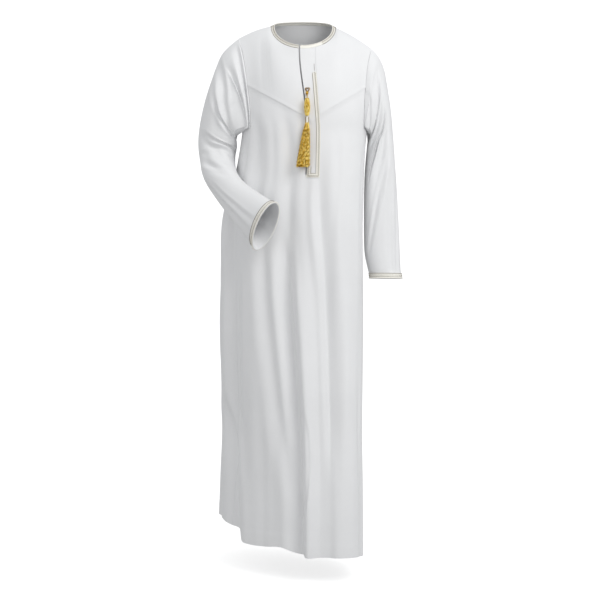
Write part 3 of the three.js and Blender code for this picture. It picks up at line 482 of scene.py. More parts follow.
def make_mesh(name: str, points: Array, quads: Array, tris: Array | None = None,
              uv: Array | None = None) -> bpy.types.Object:
    """Write points and faces into a new smooth-shaded mesh object.

    Args:
        name: name of the object.
        points: points in millimetres.
        quads: four-sided faces.
        tris: three-sided faces, if any.
        uv: a pair of numbers for each point, in metres along the cloth.

    Returns:
        The object, linked to the scene, with its faces pointing out.
    """
    tris = np.zeros((0, 3), int) if tris is None else tris
    used, inverse = np.unique(np.concatenate([quads.ravel(), tris.ravel()]), return_inverse=True)
    points = points[used] * MM
    quads, tris = inverse[:quads.size].reshape(-1, 4), inverse[quads.size:].reshape(-1, 3)
    corners = [quads[:, [0, 1, 2]], quads[:, [0, 2, 3]], tris]
    volume = sum(np.einsum("ij,ij->", points[t[:, 0]], np.cross(points[t[:, 1]], points[t[:, 2]]))
                 for t in corners)
    if volume < 0:
        quads, tris = quads[:, ::-1], tris[:, ::-1]
    loops = np.concatenate([quads.ravel(), tris.ravel()])
    sizes = np.concatenate([np.full(len(quads), 4), np.full(len(tris), 3)])
    mesh = bpy.data.meshes.new(name)
    mesh.vertices.add(len(points))
    mesh.vertices.foreach_set("co", points.ravel())
    mesh.loops.add(len(loops))
    mesh.loops.foreach_set("vertex_index", loops)
    mesh.polygons.add(len(sizes))
    mesh.polygons.foreach_set("loop_start", np.concatenate([[0], np.cumsum(sizes)[:-1]]))
    mesh.polygons.foreach_set("use_smooth", np.ones(len(sizes), bool))
    mesh.update(calc_edges=True)
    if uv is not None:
        layer = mesh.uv_layers.new(name="cloth")
        layer.uv.foreach_set("vector", uv[used][loops].ravel())
    mesh.set_sharp_from_angle(angle=math.radians(SHARP_EDGE))
    mesh.validate()
    piece = bpy.data.objects.new(name, mesh)
    bpy.context.scene.collection.objects.link(piece)
    return piece


def drawn_back(layer: Array, seam: float) -> Array:
    """Move the edge points of an open patch towards their inner neighbours by the seam width."""
    result = layer.copy()
    result[:, 0] += unit(layer[:, 1] - layer[:, 0]) * seam
    result[:, -1] += unit(layer[:, -2] - layer[:, -1]) * seam
    result[0] += unit(layer[1] - layer[0]) * seam
    result[-1] += unit(layer[-2] - layer[-1]) * seam
    return result


def facing_cloth(grid: Array, inside_z: float) -> Cloth:
    """Cloth whose normals point away from the garment's middle line at a height."""
    return Cloth(grid, facing_out(grid_normals(grid), grid, np.array([0, 0, inside_z])))


@dataclass
class Cloth:
    """A stretch of cloth: a grid of points, its outward normals and its place on the cloth."""

    grid: Array
    normals: Array
    wraps: bool = False

    def lifted(self, by: float | Array) -> Array:
        """The grid moved out along its normals."""
        return self.grid + self.normals * (by if np.isscalar(by) else np.asarray(by)[..., None])

    def from_foot(self) -> Array:
        """Distance of each point from the foot of its column."""
        return np.linalg.norm(self.grid - self.grid[-1:], axis=-1)

    def flat_coordinates(self) -> Array:
        """Place of each point on the flat cloth: running lengths down and across, in metres."""
        down = np.linalg.norm(np.diff(self.grid, axis=0), axis=-1)
        across = np.linalg.norm(np.diff(self.grid, axis=1), axis=-1)
        v = np.concatenate([np.zeros((1, self.grid.shape[1])), np.cumsum(down, axis=0)])
        u = np.concatenate([np.zeros((self.grid.shape[0], 1)), np.cumsum(across, axis=1)], axis=1)
        return np.stack([u, v], axis=-1) * MM

    def cut(self, keep: Array | None = None) -> tuple[float, float, float]:
        """Width, length and area in metres of the flat cloth that this stretch was cut from."""
        grid = np.concatenate([self.grid, self.grid[:, :1]], axis=1) if self.wraps else self.grid
        a, b = grid[1:, :-1] - grid[:-1, :-1], grid[:-1, 1:] - grid[:-1, :-1]
        c, d = grid[1:, :-1] - grid[1:, 1:], grid[:-1, 1:] - grid[1:, 1:]
        cell = (np.linalg.norm(np.cross(a, b), axis=-1) + np.linalg.norm(np.cross(c, d), axis=-1)) / 2
        area = float((cell if keep is None else cell[keep]).sum()) * MM * MM
        width = float(np.linalg.norm(np.diff(grid, axis=1), axis=-1).sum(axis=1).max()) * MM
        length = float(np.linalg.norm(np.diff(grid, axis=0), axis=-1).sum(axis=0).max()) * MM
        return width, max(length, area / width), area

    def shell(self, name: str, low: float | Array, high: float | Array, seam: float = 0.0,
              keep: Array | None = None) -> bpy.types.Object:
        """A closed wall between two distances from the grid.

        Args:
            name: name of the object.
            low: distance of the inner face along the normals.
            high: distance of the outer face.
            seam: how far the open edges draw back.
            keep: which cells exist.

        Returns:
            The object.
        """
        outer, inner = self.lifted(high), self.lifted(low)
        if seam and not self.wraps:
            outer, inner = drawn_back(outer, seam), drawn_back(inner, seam)
        rows, cols = self.grid.shape[:2]
        uv = np.tile(self.flat_coordinates().reshape(-1, 2), (2, 1))
        points = np.concatenate([outer.reshape(-1, 3), inner.reshape(-1, 3)])
        return make_mesh(name, points, wall_quads(rows, cols, self.wraps, keep), uv=uv)


def resampled(path: Array, *others: Array, step: float) -> tuple[Array, ...]:
    """Points at even steps along an open path, and other arrays read at the same places.

    Args:
        path: points along the path.
        others: arrays with a row for each point of the path.
        step: spacing of the new points in millimetres.

    Returns:
        The new points, and each other array read there.
    """
    run = np.concatenate([[0], np.cumsum(np.linalg.norm(np.diff(path, axis=0), axis=-1))])
    at = np.linspace(0, run[-1], max(int(round(run[-1] / step)), 3) + 1)
    return tuple(np.stack([np.interp(at, run, array[:, k]) for k in range(3)], axis=-1)
                 for array in (path, *others))


def tube_parts(path: Array, up: Array, radius: float | Array, sides: int,
               closed: bool) -> tuple[Array, Array]:
    """Points and faces of a tube: a regular polygon carried square to the path.

    Args:
        path: centre line.
        up: a direction for each point that isn't along the path.
        radius: radius, or one for each point.
        sides: sides of the polygon.
        closed: whether the path returns to its start.

    Returns:
        Points and quads. The ends of an open tube are drawn to points and so are closed.
    """
    tangent = (np.roll(path, -1, axis=0) - np.roll(path, 1, axis=0)) if closed else np.gradient(path, axis=0)
    across = unit(np.cross(unit(tangent), up))
    over = unit(np.cross(across, unit(tangent)))
    turn = np.arange(sides) * 2 * np.pi / sides
    radius = np.broadcast_to(np.asarray(radius, float), (len(path),)).copy()
    if not closed:
        radius[[0, -1]] *= 0.02
    ring = across[:, None] * np.cos(turn)[:, None] + over[:, None] * np.sin(turn)[:, None]
    points = path[:, None] + ring * radius[:, None, None]
    rows = len(path)
    row, col = np.meshgrid(np.arange(rows if closed else rows - 1), np.arange(sides), indexing="ij")
    below, after = (row + 1) % rows, (col + 1) % sides
    corners = (row, col), (row, after), (below, after), (below, col)
    quads = np.stack([at * sides + side for at, side in corners], axis=-1)
    return points.reshape(-1, 3), quads.reshape(-1, 4)


class Threads:
    """Many tubes gathered into one mesh."""

    def __init__(self, name: str) -> None:
        """Start with no tube."""
        self.name = name
        self.points: list[Array] = []
        self.quads: list[Array] = []
        self.caps: list[Array] = []
        self.tones: list[Array] = []
        self.count = 0

    def add(self, path: Array, up: Array, radius: float | Array, sides: int = 5, closed: bool = False,
            tone: float = 0.5) -> None:
        """Add one tube, with a tone from 0 to 1 for its shade."""
        points, quads = tube_parts(path, up, radius, sides, closed)
        if not closed:
            last = len(points) - sides
            fan = np.arange(1, sides - 1)
            zero = np.zeros_like(fan)
            self.caps.append(self.count + np.concatenate([
                np.stack([zero, fan + 1, fan], axis=-1), last + np.stack([zero, fan, fan + 1], axis=-1)]))
        self.points.append(points)
        self.quads.append(quads + self.count)
        self.tones.append(np.full(len(points), tone))
        self.count += len(points)

    def object(self) -> bpy.types.Object:
        """The joined mesh, with each thread's tone as an attribute."""
        tris = np.concatenate(self.caps) if self.caps else None
        piece = make_mesh(self.name, np.concatenate(self.points), np.concatenate(self.quads), tris)
        tone = piece.data.attributes.new("tone", "FLOAT", "POINT")
        tone.data.foreach_set("value", np.concatenate(self.tones))
        return piece


# ---------------------------------------------------------------- finishes
@dataclass(frozen=True)
class ClothFinish:
    """Fine smooth white cloth with a soft sheen."""

    name: str = "white_cloth"
    colour: tuple[float, float, float] = (0.86, 0.862, 0.868)
    roughness: float = 0.58
    sheen: float = 0.22
    sheen_roughness: float = 0.4
    specular: float = 0.35
    twill_scale: float = 0.3 / 0.00042
    twill_distortion: float = 0.6
    weave_depth: float = 0.00006
    weave_strength: float = 0.35
    uneven_scale: float = 9.0
    uneven_dark: float = 0.975
    uneven_stops: tuple[float, float] = (0.3, 0.7)
    crumple_scale: float = 60.0
    crumple: float = 0.0009
    crumple_strength: float = 0.25
    noise_detail: float = 3.0

    def material(self) -> bpy.types.Material:
        """Twill lines on the cloth's own coordinates over a faint uneven tone and crumple."""
        build = Nodes(self.name)
        shader = build.shader(self.colour, self.roughness)
        shader.inputs["Sheen Weight"].default_value = self.sheen
        shader.inputs["Sheen Roughness"].default_value = self.sheen_roughness
        shader.inputs["Specular IOR Level"].default_value = self.specular
        uv = build.add("ShaderNodeUVMap", uv_map="cloth")
        place = build.add("ShaderNodeTexCoord")
        twill = build.add("ShaderNodeTexWave", wave_type="BANDS", bands_direction="DIAGONAL")
        twill.inputs["Scale"].default_value = self.twill_scale
        twill.inputs["Distortion"].default_value = self.twill_distortion
        build.link(uv.outputs["UV"], twill.inputs["Vector"])
        soft = build.noise(place.outputs["Object"], self.uneven_scale, self.noise_detail)
        fine = build.noise(place.outputs["Object"], self.crumple_scale, self.noise_detail)
        darker = tuple(c * self.uneven_dark for c in self.colour)
        tone = build.ramp(soft, list(zip(self.uneven_stops, (darker, self.colour))))
        build.link(tone, shader.inputs["Base Color"])
        weave = build.bump(twill.outputs["Color"], self.weave_depth, self.weave_strength)
        crumpled = build.bump(fine, self.crumple, self.crumple_strength, weave)
        build.link(crumpled, shader.inputs["Normal"])
        return build.material


@dataclass(frozen=True)
class BraidFinish:
    """Cream woven tape, or the thread worked on it."""

    name: str = "cream_tape"
    colour: tuple[float, float, float] = (0.97, 0.955, 0.89)
    dark: tuple[float, float, float] = (0.93, 0.905, 0.82)
    roughness: float = 0.6
    metallic: float = 0.0
    sheen: float = 0.3
    scale: float = 900.0
    depth: float = 0.0003
    strength: float = 0.6
    stops: tuple[float, float] = (0.35, 0.62)
    noise_detail: float = 2.0

    def material(self) -> bpy.types.Material:
        """Fine threads as noise and ridges on object coordinates, light and dark by turns."""
        build = Nodes(self.name)
        shader = build.shader(self.colour, self.roughness)
        shader.inputs["Metallic"].default_value = self.metallic
        shader.inputs["Sheen Weight"].default_value = self.sheen
        place = build.add("ShaderNodeTexCoord")
        grain = build.noise(place.outputs["Object"], self.scale, self.noise_detail)
        tone = build.ramp(grain, list(zip(self.stops, (self.dark, self.colour))))
        build.link(tone, shader.inputs["Base Color"])
        build.link(build.bump(grain, self.depth, self.strength), shader.inputs["Normal"])
        return build.material


@dataclass(frozen=True)
class ThreadFinish:
    """Glossy twisted thread whose shade follows each strand's tone."""

    name: str = "gold_thread"
    dark: tuple[float, float, float] = (0.22, 0.10, 0.003)
    colour: tuple[float, float, float] = (0.93, 0.55, 0.035)
    light: tuple[float, float, float] = (1.0, 0.83, 0.28)
    metallic: float = 0.08
    roughness: float = 0.38
    specular: float = 0.18
    blotch: float = 210.0
    blotch_share: float = 0.7
    stops: tuple[float, float, float] = (0.4, 0.49, 0.6)
    twist: float = 1500.0
    twist_depth: float = 0.0003
    twist_strength: float = 0.5

    def material(self) -> bpy.types.Material:
        """Three shades by tone and noise, with a fine twist in the surface."""
        build = Nodes(self.name)
        shader = build.shader(self.colour, self.roughness)
        shader.inputs["Metallic"].default_value = self.metallic
        shader.inputs["Specular IOR Level"].default_value = self.specular
        tone = build.add("ShaderNodeAttribute", attribute_name="tone")
        place = build.add("ShaderNodeTexCoord")
        blotch = build.noise(place.outputs["Object"], self.blotch, 2.0)
        blend = build.add("ShaderNodeMix", data_type="FLOAT")
        blend.inputs["Factor"].default_value = self.blotch_share
        build.link(tone.outputs["Fac"], blend.inputs["A"])
        build.link(blotch, blend.inputs["B"])
        stops = list(zip(self.stops, (self.dark, self.colour, self.light)))
        shades = build.ramp(blend.outputs["Result"], stops)
        build.link(shades, shader.inputs["Base Color"])
        twisted = build.noise(place.outputs["Object"], self.twist, 1.0)
        turned = build.bump(twisted, self.twist_depth, self.twist_strength)
        build.link(turned, shader.inputs["Normal"])
        return build.material


class Nodes:
    """Short ways to put shader nodes together."""

    def __init__(self, name: str) -> None:
        """A new material with an empty node tree."""
        self.material = bpy.data.materials.new(name)
        self.material.use_nodes = True
        self.tree = self.material.node_tree
        self.tree.nodes.clear()

    def add(self, kind: str, **settings: object) -> bpy.types.Node:
        """A node with some of its settings."""
        node = self.tree.nodes.new(kind)
        for name, value in settings.items():
            setattr(node, name, value)
        return node

    def link(self, output: bpy.types.NodeSocket, target: bpy.types.NodeSocket) -> None:
        """Join two sockets."""
        self.tree.links.new(output, target)

    def shader(self, colour: tuple[float, float, float], roughness: float) -> bpy.types.Node:
        """A Principled shader joined to the output."""
        shader = self.add("ShaderNodeBsdfPrincipled")
        shader.inputs["Base Color"].default_value = (*colour, 1)
        shader.inputs["Roughness"].default_value = roughness
        self.link(shader.outputs[0], self.add("ShaderNodeOutputMaterial").inputs["Surface"])
        return shader

    def noise(self, vector: bpy.types.NodeSocket, scale: float, detail: float) -> bpy.types.NodeSocket:
        """Noise of a given scale; returns its value."""
        noise = self.add("ShaderNodeTexNoise")
        noise.inputs["Scale"].default_value = scale
        noise.inputs["Detail"].default_value = detail
        self.link(vector, noise.inputs["Vector"])
        return noise.outputs["Fac"]

    def ramp(self, value: bpy.types.NodeSocket, stops: list[tuple[float, tuple]]) -> bpy.types.NodeSocket:
        """A colour ramp with the given stops; returns its colour."""
        ramp = self.add("ShaderNodeValToRGB")
        while len(ramp.color_ramp.elements) < len(stops):
            ramp.color_ramp.elements.new(0.5)
        for element, (place, colour) in zip(ramp.color_ramp.elements, stops):
            element.position = place
            element.color = (*colour, 1)
        self.link(value, ramp.inputs["Fac"])
        return ramp.outputs["Color"]

    def bump(self, height: bpy.types.NodeSocket, distance: float, strength: float,
             under: bpy.types.NodeSocket | None = None) -> bpy.types.NodeSocket:
        """A bump over another, if one is given; returns its normal."""
        bump = self.add("ShaderNodeBump")
        bump.inputs["Distance"].default_value = distance
        bump.inputs["Strength"].default_value = strength
        self.link(height, bump.inputs["Height"])
        if under is not None:
            self.link(under, bump.inputs["Normal"])
        return bump.outputs["Normal"]


@dataclass
class Finishes:
    """The materials, made once and shared."""

    cloth: bpy.types.Material = field(default_factory=lambda: ClothFinish().material())
    tape: bpy.types.Material = field(default_factory=lambda: BraidFinish().material())
    cord_edge: bpy.types.Material = field(default_factory=lambda: BraidFinish(
        "cream_cord", (0.95, 0.93, 0.87), (0.88, 0.84, 0.74), depth=0.0004).material())
    stitch: bpy.types.Material = field(default_factory=lambda: BraidFinish(
        "gold_stitch", (0.17, 0.11, 0.03), (0.09, 0.055, 0.018), 0.45, 0.1, 0.1, 700.0).material())
    line: bpy.types.Material = field(default_factory=lambda: BraidFinish(
        "dark_line", (0.17, 0.13, 0.09), (0.09, 0.07, 0.05), 0.5, 0.0, 0.1, 700.0).material())
    gold: bpy.types.Material = field(default_factory=lambda: ThreadFinish().material())
    sewing: bpy.types.Material = field(default_factory=lambda: BraidFinish(
        "white_sewing", (0.86, 0.865, 0.875), (0.74, 0.745, 0.76), 0.5).material())


class Slot(Enum):
    """Names of the material slots."""

    CLOTH = "white_cloth"
    TRIM = "gold_trim"
    TASSEL = "tassel_thread"


def finish_piece(piece: bpy.types.Object, material: bpy.types.Material, slot: Slot,
                 *nodes: str) -> bpy.types.Object:
    """Dress a piece, fix it to the body, and say which solids it stands for."""
    piece.data.materials.append(material)
    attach(piece, "root")
    if nodes:
        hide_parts(*nodes)
    stands_for = f", for {', '.join(nodes)}" if nodes else ""
    LOG.info("%s: %d faces%s", piece.name, len(piece.data.polygons), stands_for)
    return piece


# ---------------------------------------------------------------- the body
@dataclass
class Body:
    """Front, back and side gores, with the yokes laid on them."""

    form: BodyForm
    finishes: Finishes
    column_step: tuple[float, float] = (0.75, 1.2)
    rows_above: int = 64
    rows_below: int = 170
    yoke_wall: float = 0.8
    yoke_crest: float = 0.7
    crest_at: float = 2.5
    crest_reach: float = 5.5
    hem_turn: float = 43.0
    hem_lift: float = 0.5
    hem_ease: tuple[float, float] = (3.0, 2.0)
    stitch_in: float = 2.0
    stitch_pull: float = 0.55
    stitch_reach: float = 2.2
    gore_columns: int = 49
    panels: dict[Face, Cloth] = field(default_factory=dict)
    gores: dict[str, Cloth] = field(default_factory=dict)
    columns: dict[Face, Array] = field(default_factory=dict)

    def column_angles(self, face: Face) -> Array:
        """Columns of a panel in degrees, even but for the slit and the placket's edge."""
        between = [*SLIT, PLACKET_EDGE] if face is Face.FRONT else []
        fixed = [-PANEL_EDGE, *between, PANEL_EDGE]
        step = self.column_step[face is Face.BACK]
        spans = [np.linspace(a, b, max(int(round((b - a) / step)), 1) + 1)[:-1]
                 for a, b in zip(fixed, fixed[1:])]
        return np.concatenate([*spans, [PANEL_EDGE]])

    def levels(self) -> Array:
        """Share of the way from armpit level to hem for each row below the first."""
        slit_end = (SLIT_END_Z - ARMPIT_Z) / (HEM_LEVEL - ARMPIT_Z)
        upper = int(self.rows_below * slit_end)
        return np.concatenate([np.linspace(0, slit_end, upper + 1)[1:],
                               np.linspace(slit_end, 1, self.rows_below - upper + 1)[1:]])

    def panel(self, face: Face) -> Cloth:
        """A body panel's cloth, from its top edge to the hem."""
        degrees = self.column_angles(face)
        u = degrees[None] / PANEL_EDGE
        above = self.form.upper(face, u, np.linspace(0, 1, self.rows_above + 1)[:, None])
        grid = np.concatenate([above, self.form.lower(face, u, self.levels()[:, None])])
        self.columns[face] = degrees
        return facing_cloth(grid, PANEL_MIDDLE)

    def gore(self, sign: int) -> Cloth:
        """The gore under one arm, from the underarm curve to the hem."""
        across = np.linspace(0, 1, self.gore_columns)[None]
        angle = sign * mix(PANEL_EDGE, 180 - PANEL_EDGE, across)
        top = ARMPIT_Z - UNDERARM_DIP * np.sin(np.pi * across)
        level = np.concatenate([[0], self.levels()])[:, None]
        z = mix(top, self.form.hem_z(angle), level)
        grid = self.form.surface(np.broadcast_to(angle, z.shape), z)
        return facing_cloth(grid, GORE_MIDDLE)

    def hem_relief(self, cloth: Cloth) -> Array:
        """Extra thickness outside over the turned hem, pulled in at its stitch line."""
        from_hem = cloth.from_foot()
        over, short = self.hem_ease
        turned = smoothstep(self.hem_turn + over, self.hem_turn - short, from_hem)
        stitched = np.exp(-((from_hem - self.hem_turn + self.stitch_in) / self.stitch_reach) ** 2)
        return self.hem_lift * turned - self.stitch_pull * stitched

    def build(self) -> None:
        """Make the panels, gores and yokes."""
        for face, name in ((Face.FRONT, "front_panel"), (Face.BACK, "back_panel")):
            cloth = self.panels[face] = self.panel(face)
            keep = self.slit_cells(cloth) if face is Face.FRONT else None
            piece = cloth.shell(f"{name}_cloth", -WALL, self.hem_relief(cloth), SEAM, keep)
            finish_piece(piece, self.finishes.cloth, Slot.CLOTH, name)
            cloth.cut(keep)
        for side, sign in (("right", -1), ("left", 1)):
            cloth = self.gores[side] = self.gore(sign)
            name = f"side_gore_{side}"
            piece = cloth.shell(f"{name}_cloth", -WALL, self.hem_relief(cloth), SEAM)
            finish_piece(piece, self.finishes.cloth, Slot.CLOTH, name)
            cloth.cut()
        self.yokes()

    def slit_cells(self, cloth: Cloth) -> Array:
        """All the front panel's cells but those of the slit."""
        keep = np.ones((cloth.grid.shape[0] - 1, cloth.grid.shape[1] - 1), bool)
        column = int(np.argmin(np.abs(self.columns[Face.FRONT] - SLIT[0])))
        keep[:self.slit_rows(), column] = False
        return keep

    def slit_rows(self) -> int:
        """Rows of cells that the slit is long."""
        slit_end = (SLIT_END_Z - ARMPIT_Z) / (HEM_LEVEL - ARMPIT_Z)
        return self.rows_above + int(self.rows_below * slit_end)

    def yoke_cloth(self, face: Face, degrees: Array, rows: int = 56) -> Cloth:
        """The cloth of a yoke over the given columns, down to its seam."""
        u = degrees[None] / PANEL_EDGE
        foot = self.form.yoke_share(face, u)
        grid = self.form.upper(face, u, np.linspace(0, 1, rows)[:, None] * foot)
        return facing_cloth(grid, YOKE_MIDDLE)

    def yokes(self) -> None:
        """The yoke's two front halves and its back, each with a rounded, stitched lower edge."""
        degrees = self.columns[Face.FRONT]
        spans = {
            "front_yoke_right": (Face.FRONT, degrees[degrees <= SLIT[0]]),
            "front_yoke_left": (Face.FRONT, degrees[degrees >= PLACKET_EDGE]),
            "back_yoke": (Face.BACK, self.columns[Face.BACK]),
        }
        for name, (face, columns) in spans.items():
            cloth = self.yoke_cloth(face, columns)
            crest = self.yoke_crest * np.exp(-((cloth.from_foot() - self.crest_at) / self.crest_reach) ** 2)
            piece = cloth.shell(f"{name}_cloth", LAY, LAY + self.yoke_wall + crest, 1.5 * SEAM)
            finish_piece(piece, self.finishes.cloth, Slot.CLOTH, name)
            cloth.cut()


# ---------------------------------------------------------------- the sleeves
RING_COLUMNS = "out_x out_y out_z in_x in_y in_z deep"
SLEEVE_FOLD_COLUMNS = "start end angle_start angle_end width depth"
CREASE_COLUMNS = "start angle_start end angle_end width depth lean"


@dataclass
class Sleeve:
    """A set-in sleeve: rings from the armhole's edge to the cuff, with folds of its own."""

    side: str
    sign: int
    rings: Table
    folds: Table
    creases: Table
    nodes: tuple[str, ...]
    body: Body
    finishes: Finishes
    blend: float = 0.36
    rows: int = 222
    length: float = 640.0
    per_degree: float = 1.25
    roundness: float = 1.0
    cuff_rows: int = 9
    armhole_steps: int = 70
    underarm_steps: int = 41
    look_ahead: float = 0.4
    crease_swell: float = 0.8
    crease_ridge: float = 0.4
    ridge_at: float = 1.9
    ridge_spread: float = 0.8
    cloth: Cloth | None = None

    def armhole(self) -> tuple[Array, Array, Array]:
        """The armhole's edge, its top point and its underarm point."""
        form, u = self.body.form, float(self.sign)
        v = np.linspace(0, 1, self.armhole_steps)
        front = form.shoulder(Face.FRONT, u, v)
        back = form.shoulder(Face.BACK, u, v[:0:-1])
        across = np.linspace(0, 1, self.underarm_steps)
        under = form.surface(self.sign * mix(PANEL_EDGE, 180 - PANEL_EDGE, across),
                             ARMPIT_Z - UNDERARM_DIP * np.sin(np.pi * across))
        return np.concatenate([front, under[1:-1], back]), front[0], under[self.underarm_steps // 2]

    def fold_depth(self, share: Array, angle: Array) -> Array:
        """Depth of the folds: bells across each path that swell and fade along it."""
        out = np.zeros(np.broadcast(share, angle).shape)
        for row in self.folds.rows():
            t = (share - row["start"]) / (row["end"] - row["start"])
            off = angle - mix(row["angle_start"], row["angle_end"], t)
            off = off - 360 * np.round(off / 360)
            along = np.where((t > 0) & (t < 1), np.sin(np.pi * np.clip(t, 0, 1)), 0)
            across = off / row["width"]
            out -= row["depth"] * along * np.exp(-across ** 2)
        return out + self.crease_depth(share, angle)

    def crease_depth(self, share: Array, angle: Array) -> Array:
        """Depth of the finer creases, in millimetres on the unrolled sleeve.

        Each runs straight from one point of it to another. It is a bell across its line, steeper
        on one side, with a low ridge beside it, and it swells and fades along the line.
        """
        out = np.zeros(np.broadcast(share, angle).shape)
        for row in self.creases.rows():
            run = np.array([(row["end"] - row["start"]) * self.length,
                            (row["angle_end"] - row["angle_start"]) * self.per_degree])
            size = float(np.hypot(*run))
            middle = (row["angle_start"] + row["angle_end"]) / 2
            near = angle - 360 * np.round((angle - middle) / 360)
            x = (share - row["start"]) * self.length
            y = (near - row["angle_start"]) * self.per_degree
            along = (x * run[0] + y * run[1]) / size ** 2
            aside = (y * run[0] - x * run[1]) / size / row["width"]
            aside = aside / np.where(aside > 0, 1 - row["lean"], 1 + row["lean"])
            swell = np.sin(np.pi * np.clip(along, 0, 1)) ** self.crease_swell
            ridge = self.crease_ridge * np.exp(-((np.abs(aside) - self.ridge_at) ** 2) / self.ridge_spread)
            out += row["depth"] * swell * (ridge - np.exp(-aside ** 2))
        return out

    def ring_table(self, tip: Array, under: Array, deep: float) -> Table:
        """The sleeve's rings, numbered by place, with the armhole as the first."""
        rows = [(*tip, *under, deep), *(tuple(row.values()) for row in self.rings.rows())]
        return Table("place " + RING_COLUMNS, [(k, *row) for k, row in enumerate(rows)])

    def edge_lines(self, table: Table, place: Array) -> tuple[Array, Array]:
        """Points of the sleeve's outer and inner edges at each place."""
        return tuple(stacked(*(table.curve("place", f"{edge}_{axis}", place) for axis in "xyz"))
                     for edge in ("out", "in"))

    def axes(self, table: Table, place: Array) -> tuple[Array, Array, Array]:
        """Ways to the outer edge, to the front and onward, for the ring at each place.

        Onward is square to the other two. The way to the front is square to the line between
        the edges and to the middle line, taken from just behind each place to just ahead.
        """
        outer, inner = self.edge_lines(table, place)
        after, before = (sum(self.edge_lines(table, at)) / 2
                         for at in (np.minimum(place + self.look_ahead, table["place"][-1]),
                                    np.maximum(place - self.look_ahead, 0)))
        to_outer = unit(outer - inner)
        to_front = unit(np.cross(to_outer, after - before)) * -self.sign
        return to_outer, to_front, np.cross(to_front, to_outer) * -self.sign

    def build(self) -> None:
        """Make the sleeve. Each ring keeps the armhole's shape at first and turns into an oval."""
        loop, tip, under = self.armhole()
        deep0 = float(np.ptp(loop[:, 1])) / 2
        table = self.ring_table(tip, under, deep0)
        end = len(table["place"]) - 1
        place = np.concatenate([np.linspace(0, end - 1, self.rows),
                                np.linspace(end - 1, end, self.cuff_rows)[1:]])
        outer, inner = self.edge_lines(table, place)
        half = np.linalg.norm(outer - inner, axis=-1) / 2
        to_outer, to_front, onward = self.axes(table, place)
        deep = table.curve("place", "deep", place)
        share = place / end
        shaped = smoothstep(0, self.blend, share)[:, None]
        offset = loop - (tip + under) / 2
        a, b, c = (offset @ axis[0] for axis in (to_outer, to_front, onward))
        angle = np.arctan2(b / deep0, a / half[0])
        dent = 1 + self.fold_depth(share[:, None], np.degrees(angle)[None]) / np.minimum(half, deep)[:, None]
        round_x, round_y = (np.sign(w) * np.abs(w) ** self.roundness for w in (np.cos(angle), np.sin(angle)))
        across = mix(a * (half / half[0])[:, None], half[:, None] * round_x, shaped) * dent
        front = mix(b * (deep / deep0)[:, None], deep[:, None] * round_y, shaped) * dent
        along = mix(c, 0, shaped) + SLEEVE_SET
        grid = ((outer + inner) / 2)[:, None] + to_outer[:, None] * across[..., None] \
            + to_front[:, None] * front[..., None] + onward[:, None] * along[..., None]
        normals = facing_out(grid_normals(grid, True), grid, grid.mean(axis=1, keepdims=True))
        normals[0] = unit(normals[0] - onward[0] * (normals[0] @ onward[0])[:, None])
        self.cloth = Cloth(grid, normals, True)
        piece = self.cloth.shell(f"sleeve_{self.side}_cloth", -WALL, 0.0)
        finish_piece(piece, self.finishes.cloth, Slot.CLOTH, *self.nodes)
        self.cloth.cut()


RIGHT_RINGS = Table(RING_COLUMNS, [
    (-229, 8, -84, -183, 2, -311, 84),
    (-256, 8, -148, -190, 3, -317, 80),
    (-278, 8, -214, -190, 18, -325, 75),
    (-293, 8, -280, -190, 28, -336, 69),
    (-298, 8, -336, -191, 28, -352, 62),
    (-294, 8, -384, -194, 4, -375, 55),
    (-282, 2, -425, -196, -44, -399, 48),
    (-267, -20, -457, -188, -78, -421, 41),
    (-247, -48, -486, -171, -106, -442, 36),
    (-221, -80, -520, -148, -134, -460, 35),
    (-189, -118, -558, -121, -170, -478, 35),
    (-155, -158, -596, -99, -207, -492, 35),
    (-136, -176, -620, -84, -228, -500, 35),
    (-128, -184, -632, -78, -236, -503, 35),
])
LEFT_RINGS = Table(RING_COLUMNS, [
    (214, 8, -96, 184, 2, -310, 84),
    (229, 8, -134, 184, 2, -314, 80),
    (238, 8, -184, 183, 3, -320, 77),
    (246, 8, -240, 182, 4, -329, 74),
    (252, 6, -298, 180, 4, -343, 72),
    (256, 2, -352, 177, 0, -372, 71),
    (260, -4, -410, 173.5, -4, -418, 69),
    (264, -10, -468, 171.5, -9, -472, 68),
    (267, -16, -527, 171, -15, -530, 66),
    (270, -22, -590, 171, -21, -594, 64),
    (272, -28, -645, 173, -27, -647, 61),
    (274, -32, -690, 182, -31, -691, 59),
    (276, -33, -703, 185, -32, -702, 58),
    (278, -34, -718, 187, -33, -717, 58),
])
RIGHT_SLEEVE_FOLDS = Table(SLEEVE_FOLD_COLUMNS, [
    (0.03, 0.3, 62, 70, 15, 7),
    (0.02, 0.26, 100, 112, 14, 7),
    (0.3, 0.52, 10, 150, 20, 8),
    (0.4, 0.62, 35, 140, 18, 6),
    (0.55, 0.95, 40, 60, 18, 5),
    (0.1, 0.45, 250, 262, 18, 8),
    (0.5, 0.9, 285, 270, 18, 6),
])
LEFT_SLEEVE_FOLDS = Table(SLEEVE_FOLD_COLUMNS, [
    (0.06, 0.46, 48, 150, 16, 9),
    (0.2, 0.68, 55, 118, 15, 7),
    (0.5, 0.98, 62, 70, 16, 5),
    (0.05, 0.5, 300, 255, 18, 8),
    (0.45, 0.95, 285, 290, 18, 6),
])
